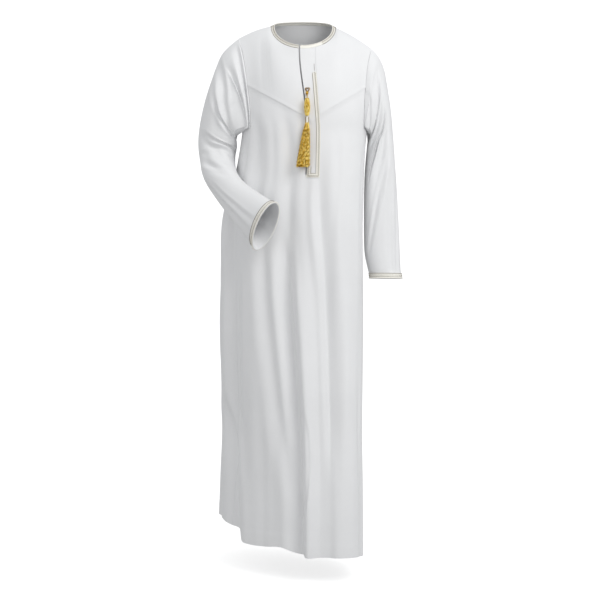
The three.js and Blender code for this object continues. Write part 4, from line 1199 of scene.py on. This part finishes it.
RIGHT_CREASES = Table(CREASE_COLUMNS, [
    (0.026, 12, 0.028, 170, 5.5, 11.0, 0.4),
    (0.095, 0, 0.175, 125, 8, 8.5, 0.3),
    (0.085, 35, 0.060, 135, 6, 8.0, -0.4),
    (0.150, 20, 0.260, 150, 8, 5.5, 0.3),
    (0.310, 30, 0.405, 178, 8, 6.5, 0.3),
    (0.370, 50, 0.470, 175, 7, 2.8, 0.2),
    (0.460, 30, 0.560, 140, 8, 3.0, 0.0),
    (0.600, 70, 0.960, 98, 9, 3.0, 0.1),
    (0.085, 350, 0.170, 235, 9, 6.0, 0.2),
    (0.300, 330, 0.410, 195, 9, 6.0, 0.2),
    (0.380, 320, 0.480, 205, 8, 4.0, -0.1),
    (0.580, 300, 0.920, 275, 10, 3.5, 0.0),
])
LEFT_CREASES = Table(CREASE_COLUMNS, [
    (0.090, 24, 0.370, 194, 3.4, 6.0, 0.45),
    (0.200, 54, 0.560, 142, 3.4, 5.5, 0.45),
    (0.060, 70, 0.190, 150, 7, 3.5, 0.1),
    (0.420, 60, 0.800, 140, 8, 2.8, 0.1),
    (0.560, 30, 0.960, 48, 9, 3.2, 0.0),
    (0.100, 355, 0.430, 190, 8, 5.0, -0.3),
    (0.240, 310, 0.620, 200, 8, 4.5, -0.2),
    (0.560, 290, 0.950, 262, 10, 3.5, 0.0),
])


# ---------------------------------------------------------------- the trims
TAPE_ROWS = 9
TAPE_STEP = 2.4
LINE_STEP = 1.6
Pairs = tuple[tuple[float, float], ...]
Zigzags = tuple[tuple[float, float, float, float], ...]


@dataclass
class Rail:
    """A line to be trimmed along, with the ways across it and out from it at each point."""

    line: Array
    across: Array
    out: Array
    closed: bool = False
    mitres: tuple[bool, bool] = (False, False)

    def __post_init__(self) -> None:
        """Bring a closed rail back to its first point, and measure the running lengths."""
        if self.closed:
            self.line, self.across, self.out = (
                np.concatenate([a, a[:1]]) for a in (self.line, self.across, self.out))
        self.run = np.concatenate([[0.0], np.cumsum(np.linalg.norm(np.diff(self.line, axis=0), axis=-1))])

    def steps(self, step: float, offset: float = 0.0) -> Array:
        """Even running lengths, cut short by the offset at each mitred end."""
        start, end = offset * self.mitres[0], self.run[-1] - offset * self.mitres[1]
        at = np.linspace(start, end, max(int(round(self.run[-1] / step)), 4) + 1)
        return at[:-1] if self.closed else at

    def read(self, values: Array, at: Array) -> Array:
        """One of the rail's arrays at the given running lengths."""
        return np.stack([np.interp(at, self.run, values[:, k]) for k in range(3)], axis=-1)

    def path(self, at: Array, offset: float | Array, height: float | Array) -> Array:
        """Points beside the line.

        Args:
            at: running lengths.
            offset: distance across the line.
            height: distance out from it.

        Returns:
            The line's points moved by the offset and the height.
        """
        across, out = (unit(self.read(values, at)) for values in (self.across, self.out))
        offset, height = (np.broadcast_to(np.asarray(value, float), at.shape)[..., None]
                          for value in (offset, height))
        return self.read(self.line, at) + across * offset + out * height

    def tape(self, name: str, edges: tuple[float, float], base: float, wall: float,
             crown: float) -> bpy.types.Object:
        """A tape whose top rises in a half wave from edge to edge.

        Args:
            name: name of the object.
            edges: offsets of its two edges.
            base: height of its underside.
            wall: its thickness at the edges.
            crown: how much thicker it is along the middle.

        Returns:
            The object.
        """
        share = np.linspace(0, 1, TAPE_ROWS)
        offsets = mix(*edges, share)
        at = np.stack([self.steps(TAPE_STEP, offset) for offset in offsets])
        high = self.path(at, offsets[:, None], (base + wall + crown * np.sin(np.pi * share))[:, None])
        low = self.path(at, offsets[:, None], base)
        points = np.concatenate([high.reshape(-1, 3), low.reshape(-1, 3)])
        return make_mesh(name, points, wall_quads(*at.shape, self.closed, None))


@dataclass
class Trim:
    """Braid worked on a rail: dark lines, gold zigzags and corded edges.

    lines and cords are pairs of offset and thread radius. zigzags are offset, half width, pitch
    and thread radius.
    """

    name: str
    finishes: Finishes
    height: float
    lines: Pairs = ()
    cords: Pairs = ()
    zigzags: Zigzags = ()
    knot: float = 1.0

    def build(self, *rails: Rail) -> None:
        """Make one piece of lines, one of zigzags and one of cords, along every rail."""
        lines, zigzags, cords = (Threads(f"{self.name}_{kind}") for kind in ("lines", "stitches", "cords"))
        for rail in rails:
            for threads, rows, sides, proud in ((lines, self.lines, 5, 0.5), (cords, self.cords, 8, 0.0)):
                for offset, radius in rows:
                    at = rail.steps(LINE_STEP, offset)
                    path = rail.path(at, offset, self.height + proud * radius)
                    threads.add(path, rail.read(rail.out, at), radius, sides, rail.closed)
            for offset, half, pitch, radius in self.zigzags:
                self.zigzag(zigzags, rail, offset, half, pitch, radius)
        for threads, material in ((lines, self.finishes.line), (zigzags, self.finishes.stitch),
                                  (cords, self.finishes.cord_edge)):
            if threads.count:
                finish_piece(threads.object(), material, Slot.TRIM)

    def zigzag(self, threads: Threads, rail: Rail, offset: float, half: float, pitch: float,
               radius: float) -> None:
        """Add a thread that swings in a triangle wave, a whole number of times.

        It thickens with the cube of the wave, so each corner is a small knot.
        """
        pitch = rail.run[-1] / round(rail.run[-1] / pitch)
        at = rail.steps(pitch / 8, offset)
        turn = 2 * np.pi * at / pitch
        wave = 2 / np.pi * np.arcsin(np.sin(turn))
        thick = radius * (0.5 + self.knot * np.abs(wave) ** 3)
        path = rail.path(at, offset + half * wave, self.height + 0.5 * thick)
        threads.add(path, rail.read(rail.out, at), thick, 4, rail.closed)


@dataclass
class NeckBand:
    """The band round the neck, braided but for a plain stretch beside the slit."""

    form: BodyForm
    finishes: Finishes
    rise_front: float = 2.0
    rise_side: float = 0.5
    rise_back: float = 1.2
    wall: float = 1.1
    crown: float = 0.35
    plain_to_x: float = 50.0
    lines: Pairs = ((0.5, 0.95),)
    edge: Pairs = ((9.9, 1.25),)
    zigzags: Zigzags = ((5.6, 0.9, 3.4, 0.25), (7.8, 0.3, 2.2, 0.3))

    def rise(self, around: Array) -> Array:
        """How steeply the band stands at each point: eased from the side to the front or back."""
        form, y = self.form, around[:, 1]
        at_front = smoothstep(form.seam_y, form.neck_front[0], y)
        at_back = smoothstep(form.seam_y, form.neck_back[0], y)
        return (self.rise_side + (self.rise_front - self.rise_side) * at_front
                + (self.rise_back - self.rise_side) * at_back)[:, None]

    def build(self) -> None:
        """A strip that stands inside the neck's edge, open at the slit."""
        around = np.concatenate([
            self.form.top_edge(Face.FRONT, np.linspace(SLIT[0], -NECK_EDGE, 60) / PANEL_EDGE),
            self.form.top_edge(Face.BACK, np.linspace(-NECK_EDGE, NECK_EDGE, 110)[1:-1] / PANEL_EDGE),
            self.form.top_edge(Face.FRONT, np.linspace(NECK_EDGE, SLIT[1], 70) / PANEL_EDGE),
        ])
        around, = resampled(around, step=TAPE_STEP)
        centre = np.array([self.form.neck_centre_x, self.form.seam_y - 6, 0.0])
        inward = unit((centre - around) * [1, 1, 0])
        upright = np.array([0, 0, 1.0])
        rise = self.rise(around)
        towards, out = unit(inward + upright * rise), unit(upright - inward * rise)
        share = np.linspace(0, 1, TAPE_ROWS)[:, None, None]
        grid = around[None] + towards[None] * mix(3 * SEAM, BAND_WIDTH, share) \
            + out[None] * self.crown * np.sin(np.pi * share)
        cloth = Cloth(grid, np.broadcast_to(out[None], grid.shape).copy())
        piece = cloth.shell("neck_band_tape", -self.wall, 0.0, SEAM)
        finish_piece(piece, self.finishes.tape, Slot.TRIM, "neck_band")
        braided = slice(0, int(np.nonzero(around[:, 0] > self.plain_to_x)[0][-1]))
        Trim("neck_braid", self.finishes, self.crown, lines=self.lines, zigzags=self.zigzags).build(
            Rail(around[braided], towards[braided], out[braided]))
        Trim("neck_edge", self.finishes, self.crown, cords=self.edge).build(Rail(around, towards, out))


@dataclass
class Placket:
    """The strip beside the slit, with braid down its outer edge and round its foot."""

    body: Body
    finishes: Finishes
    foot_z: float = -433.5
    line_top_z: float = -117.0
    braid_top_z: float = -141.0
    return_height: float = 30.0
    tape_edges: tuple[float, float] = (0.2, 12.4)
    tape_off: float = 0.1
    tape_wall: float = 0.5
    tape_crown: float = 0.35
    lines: Pairs = ((11.4, 0.6),)
    zigzags: Zigzags = ((4.4, 2.1, 6.4, 0.8),)
    knot: float = 1.1
    top_line: Pairs = ((5.0, 0.5),)

    def strip(self, cols: int = 22) -> Cloth:
        """The placket's cloth on the front panel's form."""
        form = self.body.form
        u = np.linspace(SLIT[1], PLACKET_EDGE, cols)[None] / PANEL_EDGE
        above = form.upper(Face.FRONT, u, np.linspace(0, 1, 60)[:, None])
        share = (self.foot_z - ARMPIT_Z) / (HEM_LEVEL - ARMPIT_Z)
        grid = np.concatenate([above, form.lower(Face.FRONT, u, np.linspace(0, share, 35)[1:, None])])
        return facing_cloth(grid, PLACKET_MIDDLE)

    def build(self) -> None:
        """Make the strip, the tape and the threads on it."""
        cloth = self.strip()
        piece = cloth.shell("placket_cloth", LAY, LAY + TRIM_WALL, 1.5 * SEAM)
        finish_piece(piece, self.finishes.cloth, Slot.CLOTH, "placket")
        cloth.cut()
        self.braid(cloth)

    def braid(self, cloth: Cloth) -> None:
        """The braid: down the outer edge, across the foot and a little way up beside the slit."""
        outer, inner, foot = cloth.grid[:, -1], cloth.grid[:, 0], cloth.grid[-1]
        line_top, top = (int(np.argmax(outer[:, 2] < z)) for z in (self.line_top_z, self.braid_top_z))
        turn = int(np.argmax(inner[:, 2] < self.foot_z + self.return_height))
        inward = unit(cloth.grid[:, -4] - outer)
        rails = {
            "outer": Rail(outer[top:], inward[top:], cloth.normals[top:, -1], mitres=(False, True)),
            "foot": Rail(foot, unit(cloth.grid[-5] - foot), cloth.normals[-1], mitres=(True, True)),
            "slit": Rail(inner[turn:], unit(cloth.grid[turn:, 3] - inner[turn:]), cloth.normals[turn:, 0],
                         mitres=(False, True)),
        }
        base = LAY + TRIM_WALL
        for name, rail in rails.items():
            piece = rail.tape(f"placket_tape_{name}", self.tape_edges, base + self.tape_off, self.tape_wall,
                              self.tape_crown)
            nodes = ("placket_braid",) if name == "outer" else ()
            finish_piece(piece, self.finishes.tape, Slot.TRIM, *nodes)
        on_tape = base + self.tape_wall + self.tape_crown
        Trim("placket_braid", self.finishes, on_tape, lines=self.lines, zigzags=self.zigzags,
             knot=self.knot).build(*rails.values())
        plain = slice(line_top, top)
        Trim("placket_top", self.finishes, base, lines=self.top_line).build(
            Rail(outer[plain], inward[plain], cloth.normals[plain, -1]))


@dataclass
class CuffTrim:
    """The braid round a cuff."""

    sleeve: Sleeve
    finishes: Finishes
    tape_edges: tuple[float, float] = (0.4, 15.5)
    tape_wall: float = 0.9
    tape_crown: float = 0.3
    lines: Pairs = ((14.6, 0.6), (4.9, 0.4))
    edge: Pairs = ((1.6, 1.5),)
    zigzags: Zigzags = ((9.0, 1.8, 4.4, 0.27),)

    def build(self) -> None:
        """A crowned tape over the sleeve's end, with two lines, a zigzag and a corded edge."""
        cloth, side = self.sleeve.cloth, self.sleeve.side
        edge, back = cloth.grid[-1], cloth.grid[-5]
        rail = Rail(edge, unit(back - edge), unit(cloth.normals[-1] + cloth.normals[-5]), True)
        piece = rail.tape(f"cuff_tape_{side}", self.tape_edges, LAY, self.tape_wall, self.tape_crown)
        finish_piece(piece, self.finishes.tape, Slot.TRIM, f"cuff_trim_{side}")
        on_tape = LAY + self.tape_wall + 0.7 * self.tape_crown
        Trim(f"cuff_braid_{side}", self.finishes, on_tape, self.lines, self.edge, self.zigzags).build(rail)


# ---------------------------------------------------------------- the tassel
@dataclass
class Tassel:
    """A loop and knot of twisted cord, a netted knob, a wound neck and a skirt of crinkled threads."""

    placket: Placket
    finishes: Finishes
    x: float = 9.5
    foot_x: float = -2.6
    loop_top: float = -190.0
    loop: float = 6.2
    loop_flat: float = 0.42
    loop_lean: float = 0.25
    loop_off: float = 2.5
    ply: float = 0.85
    ply_twists: int = 9
    ply_apart: float = 0.8
    drop_ply: float = 1.2
    knot_z: float = -203.0
    knot: float = 3.3
    knot_wraps: int = 7
    knob_z: float = -241.5
    knob_half: float = 25.0
    knob_radius: float = 8.7
    knob_end: float = 2.8
    knob_off: float = 12.8
    knob_threads: int = 13
    knob_turn: float = 3.4
    knob_thread: float = 0.85
    neck_foot: float = -286.0
    neck_radius: float = 3.8
    neck_turns: int = 9
    neck_thread: float = 1.15
    neck_side: float = 0.9
    skirt_top: float = -284.0
    skirt_foot: float = -404.0
    skirt_root: float = 4.0
    skirt_half: tuple[float, float] = (18.2, 9.6)
    skirt_spread: float = 0.66
    strands: int = 270
    strand_points: int = 88
    crinkle: tuple[float, float] = (0.7, 1.9)
    crinkle_pitch: tuple[float, float] = (8.0, 14.0)
    crinkle_from: float = 0.22
    foot_uneven: float = 3.5
    foot_off: float = 1.9
    strand_radius: tuple[float, float] = (0.5, 0.85)
    seed: int = 7

    def before_slit(self, z: float, x: float, off: float) -> Array:
        """Point in front of the slit's edge at a height, standing off the front panel."""
        edge = self.placket.strip().grid[:, 0]
        y = np.interp(-z, -edge[:, 2], edge[:, 1])
        return np.array([x, y - off, z])

    def build(self) -> None:
        """Make the pieces from the loop down."""
        laid = 2 * LAY + TRIM_WALL
        knob_at = self.before_slit(self.knob_z, self.x, laid + self.knob_off)
        self.cord(laid, knob_at)
        self.knob(knob_at)
        self.neck(knob_at)
        self.skirt(laid, knob_at)

    def cord(self, laid: float, knob_at: Array) -> None:
        """A three-cornered loop of two plies, its knot and the cord down to the knob.

        The loop's reach swells three times round it, which gives the corners. A ply circles the
        line it follows, and the knot's wraps are circles that follow a ball.
        """
        threads = Threads("tassel_loop_and_knot")
        loop_at = self.before_slit(self.loop_top - self.loop / 2, self.x + 1, laid + self.loop_off)
        knot_at = self.before_slit(self.knot_z, self.x, laid + self.knot + self.ply)
        foot = knob_at + [0, 0, self.knob_half + LAY]
        turn = np.linspace(0, 2 * np.pi, 48, endpoint=False)
        zero, one = 0 * turn, 0 * turn + 1
        reach = self.loop * (1 - self.loop_flat * (1 - np.sin(3 * turn)) / 2)
        ring = stacked(reach * np.cos(turn), self.loop_lean * reach * np.sin(turn), reach * np.sin(turn))
        line = mix(knot_at, foot, (turn / turn[-1])[:, None])
        for ply in (0, np.pi):
            twist = self.ply_twists * turn + ply
            beside = self.ply_apart * self.ply * np.cos(twist)
            before = self.ply_apart * self.ply * np.sin(twist)
            coil = stacked(beside * np.cos(turn), before, beside * np.sin(turn))
            threads.add(loop_at + ring + coil, stacked(zero, -one, zero), self.ply, 6, True, 0.0)
            threads.add(line + stacked(beside, before, zero), stacked(zero, -one, zero),
                        self.drop_ply * self.ply, 6, tone=0.3)
        # The wraps are darker towards the knot's foot and lighter towards its top.
        for wrap in np.linspace(-1, 1, self.knot_wraps):
            radius = self.knot * math.cos(wrap)
            tilt = 0.9 * wrap * np.sin(turn + 3 * wrap)
            circle = stacked(radius * np.cos(turn), radius * np.sin(turn), self.knot * wrap + tilt)
            threads.add(knot_at + circle, stacked(zero, zero, one), self.ply, 6, True, 0.3 + 0.2 * wrap)
        finish_piece(threads.object(), self.finishes.gold, Slot.TASSEL, "tassel_cord")

    def core_radius(self, t: Array) -> Array:
        """Radius of the knob's core from its top, 0, to its foot, 1: a flattened half wave."""
        middle = self.knob_radius - 2 * self.knob_thread
        return self.knob_end + (middle - self.knob_end) * np.sin(np.pi * np.clip(t, 0, 1)) ** 0.7

    def knob(self, at: Array) -> None:
        """A dark olive core netted by threads that wind both ways and pass over and under."""
        t = np.linspace(0, 1, 40)
        down = at + stacked(0 * t, 0 * t, self.knob_half * (1 - 2 * t) * 0.98)
        core = Threads("tassel_knob_core")
        core.add(down, stacked(0 * t + 1, 0 * t, 0 * t), self.core_radius(t), 36, tone=0.0)
        finish_piece(core.object(), self.finishes.gold, Slot.TASSEL, "tassel_knob")
        threads = Threads("tassel_knob_threads")
        s = np.linspace(0.015, 0.985, 90)
        count = self.knob_threads
        for way in (1, -1):
            for k in range(count):
                angle = way * self.knob_turn * s + k * 2 * np.pi / count
                weave = 0.4 * self.knob_thread * way * np.sin(self.knob_turn * s * count + k * way)
                reach = self.core_radius(s) + 0.5 * self.knob_thread + weave
                height = self.knob_half * (1 - 2 * s)
                path = at + stacked(reach * np.cos(angle), reach * np.sin(angle), height)
                outward = stacked(np.cos(angle), np.sin(angle), 0 * s)
                threads.add(path, outward, self.knob_thread, 5, tone=0.4 + 0.6 * ((k * 5) % count) / count)
        finish_piece(threads.object(), self.finishes.gold, Slot.TASSEL)

    def neck(self, knob_at: Array) -> None:
        """A core wound with pale thread, and a dark gold strand down its left and right sides that paints the
        shade at the sides of the pale neck.
        """
        top = self.knob_z - self.knob_half - LAY
        axis = knob_at * [1, 1, 0]
        s = np.linspace(0, 1, 260)
        zero, one = 0 * s, 0 * s + 1
        angle = s * 2 * np.pi * self.neck_turns
        wound = self.neck_radius - self.neck_thread
        height = mix(top - self.neck_thread, self.neck_foot + self.neck_thread, s)
        threads = Threads("tassel_neck")
        threads.add(axis + stacked(wound * np.cos(angle), wound * np.sin(angle), height),
                    stacked(zero, zero, one), self.neck_thread, 6)
        few = slice(None, None, 7)
        threads.add((axis + stacked(zero, zero, height))[few], stacked(one, zero, zero)[few], wound + 0.3, 16)
        finish_piece(threads.object(), self.finishes.cord_edge, Slot.TASSEL)
        # Painted shade: two dark strands down the neck's left and right sides stand in for the shade at the
        # sides of the pale wound neck.
        sides = Threads("tassel_neck_shade_strands")
        for way in (-1, 1):
            beside = stacked(way * (self.neck_radius + 0.6 * self.neck_side) * one, zero, height)
            sides.add((axis + beside)[few], stacked(zero, one, zero)[few], self.neck_side, 8, tone=0.0)
        finish_piece(sides.object(), self.finishes.gold, Slot.TASSEL)

    def skirt(self, laid: float, knob_at: Array) -> None:
        """Crinkled threads that spread from the neck to an uneven foot.

        Each thread leaves the root at its own place on a disc, filled evenly by the golden angle,
        and spreads with a power of its share of the way down. A helix of its own pitch, that
        grows from nothing, crinkles it.
        """
        draw = np.random.default_rng(self.seed)
        threads = Threads("tassel_skirt_threads")
        foot_at = self.before_slit(self.skirt_foot, self.foot_x, laid + self.skirt_half[1] + self.foot_off)
        t = np.linspace(0, 1, self.strand_points)
        spread, grown = t ** self.skirt_spread, smoothstep(0, self.crinkle_from, t)
        golden = math.pi * (3 - math.sqrt(5))
        for k in range(self.strands):
            reach, angle = math.sqrt((k + 0.5) / self.strands), k * golden
            wide, deep = (mix(self.skirt_root, half, spread) * reach for half in self.skirt_half)
            phase, pitch = draw.uniform(0, 2 * math.pi), draw.uniform(*self.crinkle_pitch)
            ease = draw.uniform(*self.crinkle) * grown
            z = mix(self.skirt_top, self.skirt_foot + draw.uniform(-self.foot_uneven, self.foot_uneven), t)
            twist = phase + (z - self.skirt_top) * 2 * np.pi / pitch
            path = stacked(
                mix(knob_at[0], foot_at[0], t) + wide * math.cos(angle) + ease * np.cos(twist),
                mix(knob_at[1], foot_at[1], t) + deep * math.sin(angle) + ease * np.sin(twist), z)
            up = stacked(math.cos(angle) + 0 * t, math.sin(angle) + 0 * t, 0 * t)
            threads.add(path, up, mix(*self.strand_radius, t), 3, tone=draw.uniform(0, 1))
        finish_piece(threads.object(), self.finishes.gold, Slot.TASSEL, "tassel_skirt")


# ---------------------------------------------------------------- sewing
@dataclass
class Sewing:
    """Rows of small stitches along the seams and the hem."""

    body: Body
    finishes: Finishes
    length: float = 2.3
    pitch: float = 3.1
    radius: float = 0.22
    yoke_in: float = 5.0
    yoke_lift: float = LAY + 0.4
    hem_lift: float = -0.1

    def seam(self, threads: Threads, cloth: Cloth, distance: float, lift: float) -> None:
        """Stitch across a cloth along the points nearest to a distance from its foot."""
        row = np.abs(cloth.from_foot() - distance).argmin(axis=0)
        pick = np.arange(cloth.grid.shape[1])
        self.row(threads, cloth.lifted(lift)[row, pick], cloth.normals[row, pick])

    def row(self, threads: Threads, path: Array, out: Array) -> None:
        """Add one stitch after another along a path: short threads that dip at both ends."""
        line, up = resampled(path, out, step=self.pitch)
        ahead = unit(np.gradient(line, axis=0))
        up = unit(up)
        t = np.linspace(-0.5, 0.5, 4)
        rise = self.radius * (0.9 - 5.2 * t ** 2)
        points = line[:, None] + ahead[:, None] * (t * self.length)[:, None] + up[:, None] * rise[:, None]
        for points_of, up_of in zip(points, up):
            threads.add(points_of, np.broadcast_to(up_of, points_of.shape), self.radius, 4)

    def build(self) -> None:
        """Stitch the yoke seams and the hem."""
        threads = Threads("topstitching")
        degrees = self.body.columns[Face.FRONT]
        spans = [(Face.FRONT, degrees[degrees <= SLIT[0]]), (Face.FRONT, degrees[degrees >= PLACKET_EDGE]),
                 (Face.BACK, self.body.columns[Face.BACK])]
        for face, columns in spans:
            self.seam(threads, self.body.yoke_cloth(face, columns), self.yoke_in, self.yoke_lift)
        for cloth in [*self.body.panels.values(), *self.body.gores.values()]:
            self.seam(threads, cloth, self.body.hem_turn - self.body.stitch_in, self.hem_lift)
        finish_piece(threads.object(), self.finishes.sewing, Slot.CLOTH)


# ---------------------------------------------------------------- the studio
@dataclass
class Studio:
    """Pale floor and backdrop, soft lights and the camera."""

    distance: float = 4.6
    eye: tuple[float, float] = (-0.010, -0.49)
    aim_z: float = -0.7807
    frame_width: float = 1.71
    floor_z: float = -1.545
    floor_front: float = -7.0
    floor_side: float = 9.0
    bend_start: float = 7.5
    bend_radius: float = 1.5
    wall_height: float = 7.0

    def build(self) -> None:
        """Make the room and set the camera."""
        scene = bpy.context.scene
        scene.view_settings.view_transform = "Standard"
        self.floor()
        self.world()
        self.light("key", (1.8, -2.4, 1.5), (0, 0, -0.6), 1.8, 48, (1.0, 0.995, 0.985))
        self.light("fill", (-2.6, -2.8, -0.9), (0, 0, -0.9), 2.4, 6, (1.0, 0.93, 0.86))
        camera = bpy.data.objects.new("camera", bpy.data.cameras.new("camera"))
        scene.collection.objects.link(camera)
        camera.location = (self.eye[0], -self.distance, self.eye[1])
        drop = self.aim_z - self.eye[1]
        camera.rotation_euler = (math.pi / 2 + math.atan2(drop, self.distance), 0, 0)
        camera.data.sensor_width = 36
        camera.data.lens = 36 * math.hypot(self.distance, drop) / self.frame_width
        camera.data.clip_end = 40
        scene.camera = camera

    def floor(self) -> None:
        """A floor that sweeps up into the backdrop: a profile carried across.

        The backdrop stands well past the camera's distance, so a camera behind the garment sees it too.
        """
        turn = np.radians(np.linspace(0, 90, 13))
        bend = np.stack([self.bend_start + self.bend_radius * np.sin(turn),
                         self.bend_radius * (1 - np.cos(turn))], -1)
        wall_y = self.bend_start + self.bend_radius
        profile = np.concatenate([[(self.floor_front, 0.0)], bend, [(wall_y, self.wall_height)]])
        x = np.array([-self.floor_side, self.floor_side])
        grid = stacked(x[None], profile[:, :1], profile[:, 1:] + self.floor_z) / MM
        rows, cols = grid.shape[:2]
        row = np.arange(rows - 1)
        quads = np.stack([row * cols, row * cols + 1, (row + 1) * cols + 1, (row + 1) * cols], -1)
        sweep = make_mesh("floor_sweep", grid.reshape(-1, 3), quads)
        build = Nodes("pale_floor")
        shader = build.shader((0.5, 0.5, 0.5), 0.9)
        shader.inputs["Emission Color"].default_value = (1, 1, 1, 1)
        shader.inputs["Emission Strength"].default_value = 0.72
        sweep.data.materials.append(build.material)
        lit = bpy.data.collections.new("lit_by_floor")
        lit.objects.link(sweep)
        sweep.light_linking.receiver_collection = lit

    def world(self) -> None:
        """Even white light from all round."""
        world = bpy.data.worlds.new("studio")
        world.use_nodes = True
        background = world.node_tree.nodes["Background"]
        background.inputs["Color"].default_value = (0.97, 0.985, 1.0, 1)
        background.inputs["Strength"].default_value = 0.72
        bpy.context.scene.world = world

    def light(self, name: str, place: tuple[float, ...], aim: tuple[float, ...], size: float, power: float,
              colour: tuple[float, float, float]) -> None:
        """A soft square light at a place, turned to its aim."""
        lamp = bpy.data.objects.new(name, bpy.data.lights.new(name, "AREA"))
        lamp.data.size = size
        lamp.data.energy = power
        lamp.data.color = colour
        bpy.context.scene.collection.objects.link(lamp)
        lamp.location = place
        toward = unit(np.array(aim, float) - np.array(place, float))
        lamp.rotation_euler = (math.acos(-toward[2]), 0, math.atan2(toward[0], -toward[1]) + math.pi)


def main() -> None:
    """Build the garment round the frame."""
    logging.basicConfig(level=logging.INFO, format="%(name)s: %(message)s")
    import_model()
    Studio().build()
    finishes = Finishes()
    body = Body(BodyForm(), finishes)
    body.build()
    sleeves = (
        Sleeve("right", -1, RIGHT_RINGS, RIGHT_SLEEVE_FOLDS, RIGHT_CREASES,
               ("sleeve_right_upper", "sleeve_right_lower"), body, finishes),
        Sleeve("left", 1, LEFT_RINGS, LEFT_SLEEVE_FOLDS, LEFT_CREASES, ("sleeve_left",), body, finishes,
               roundness=0.82),
    )
    for sleeve in sleeves:
        sleeve.build()
        CuffTrim(sleeve, finishes).build()
    NeckBand(body.form, finishes).build()
    placket = Placket(body, finishes)
    placket.build()
    Tassel(placket, finishes).build()
    Sewing(body, finishes).build()


if __name__ == "__main__":
    main()
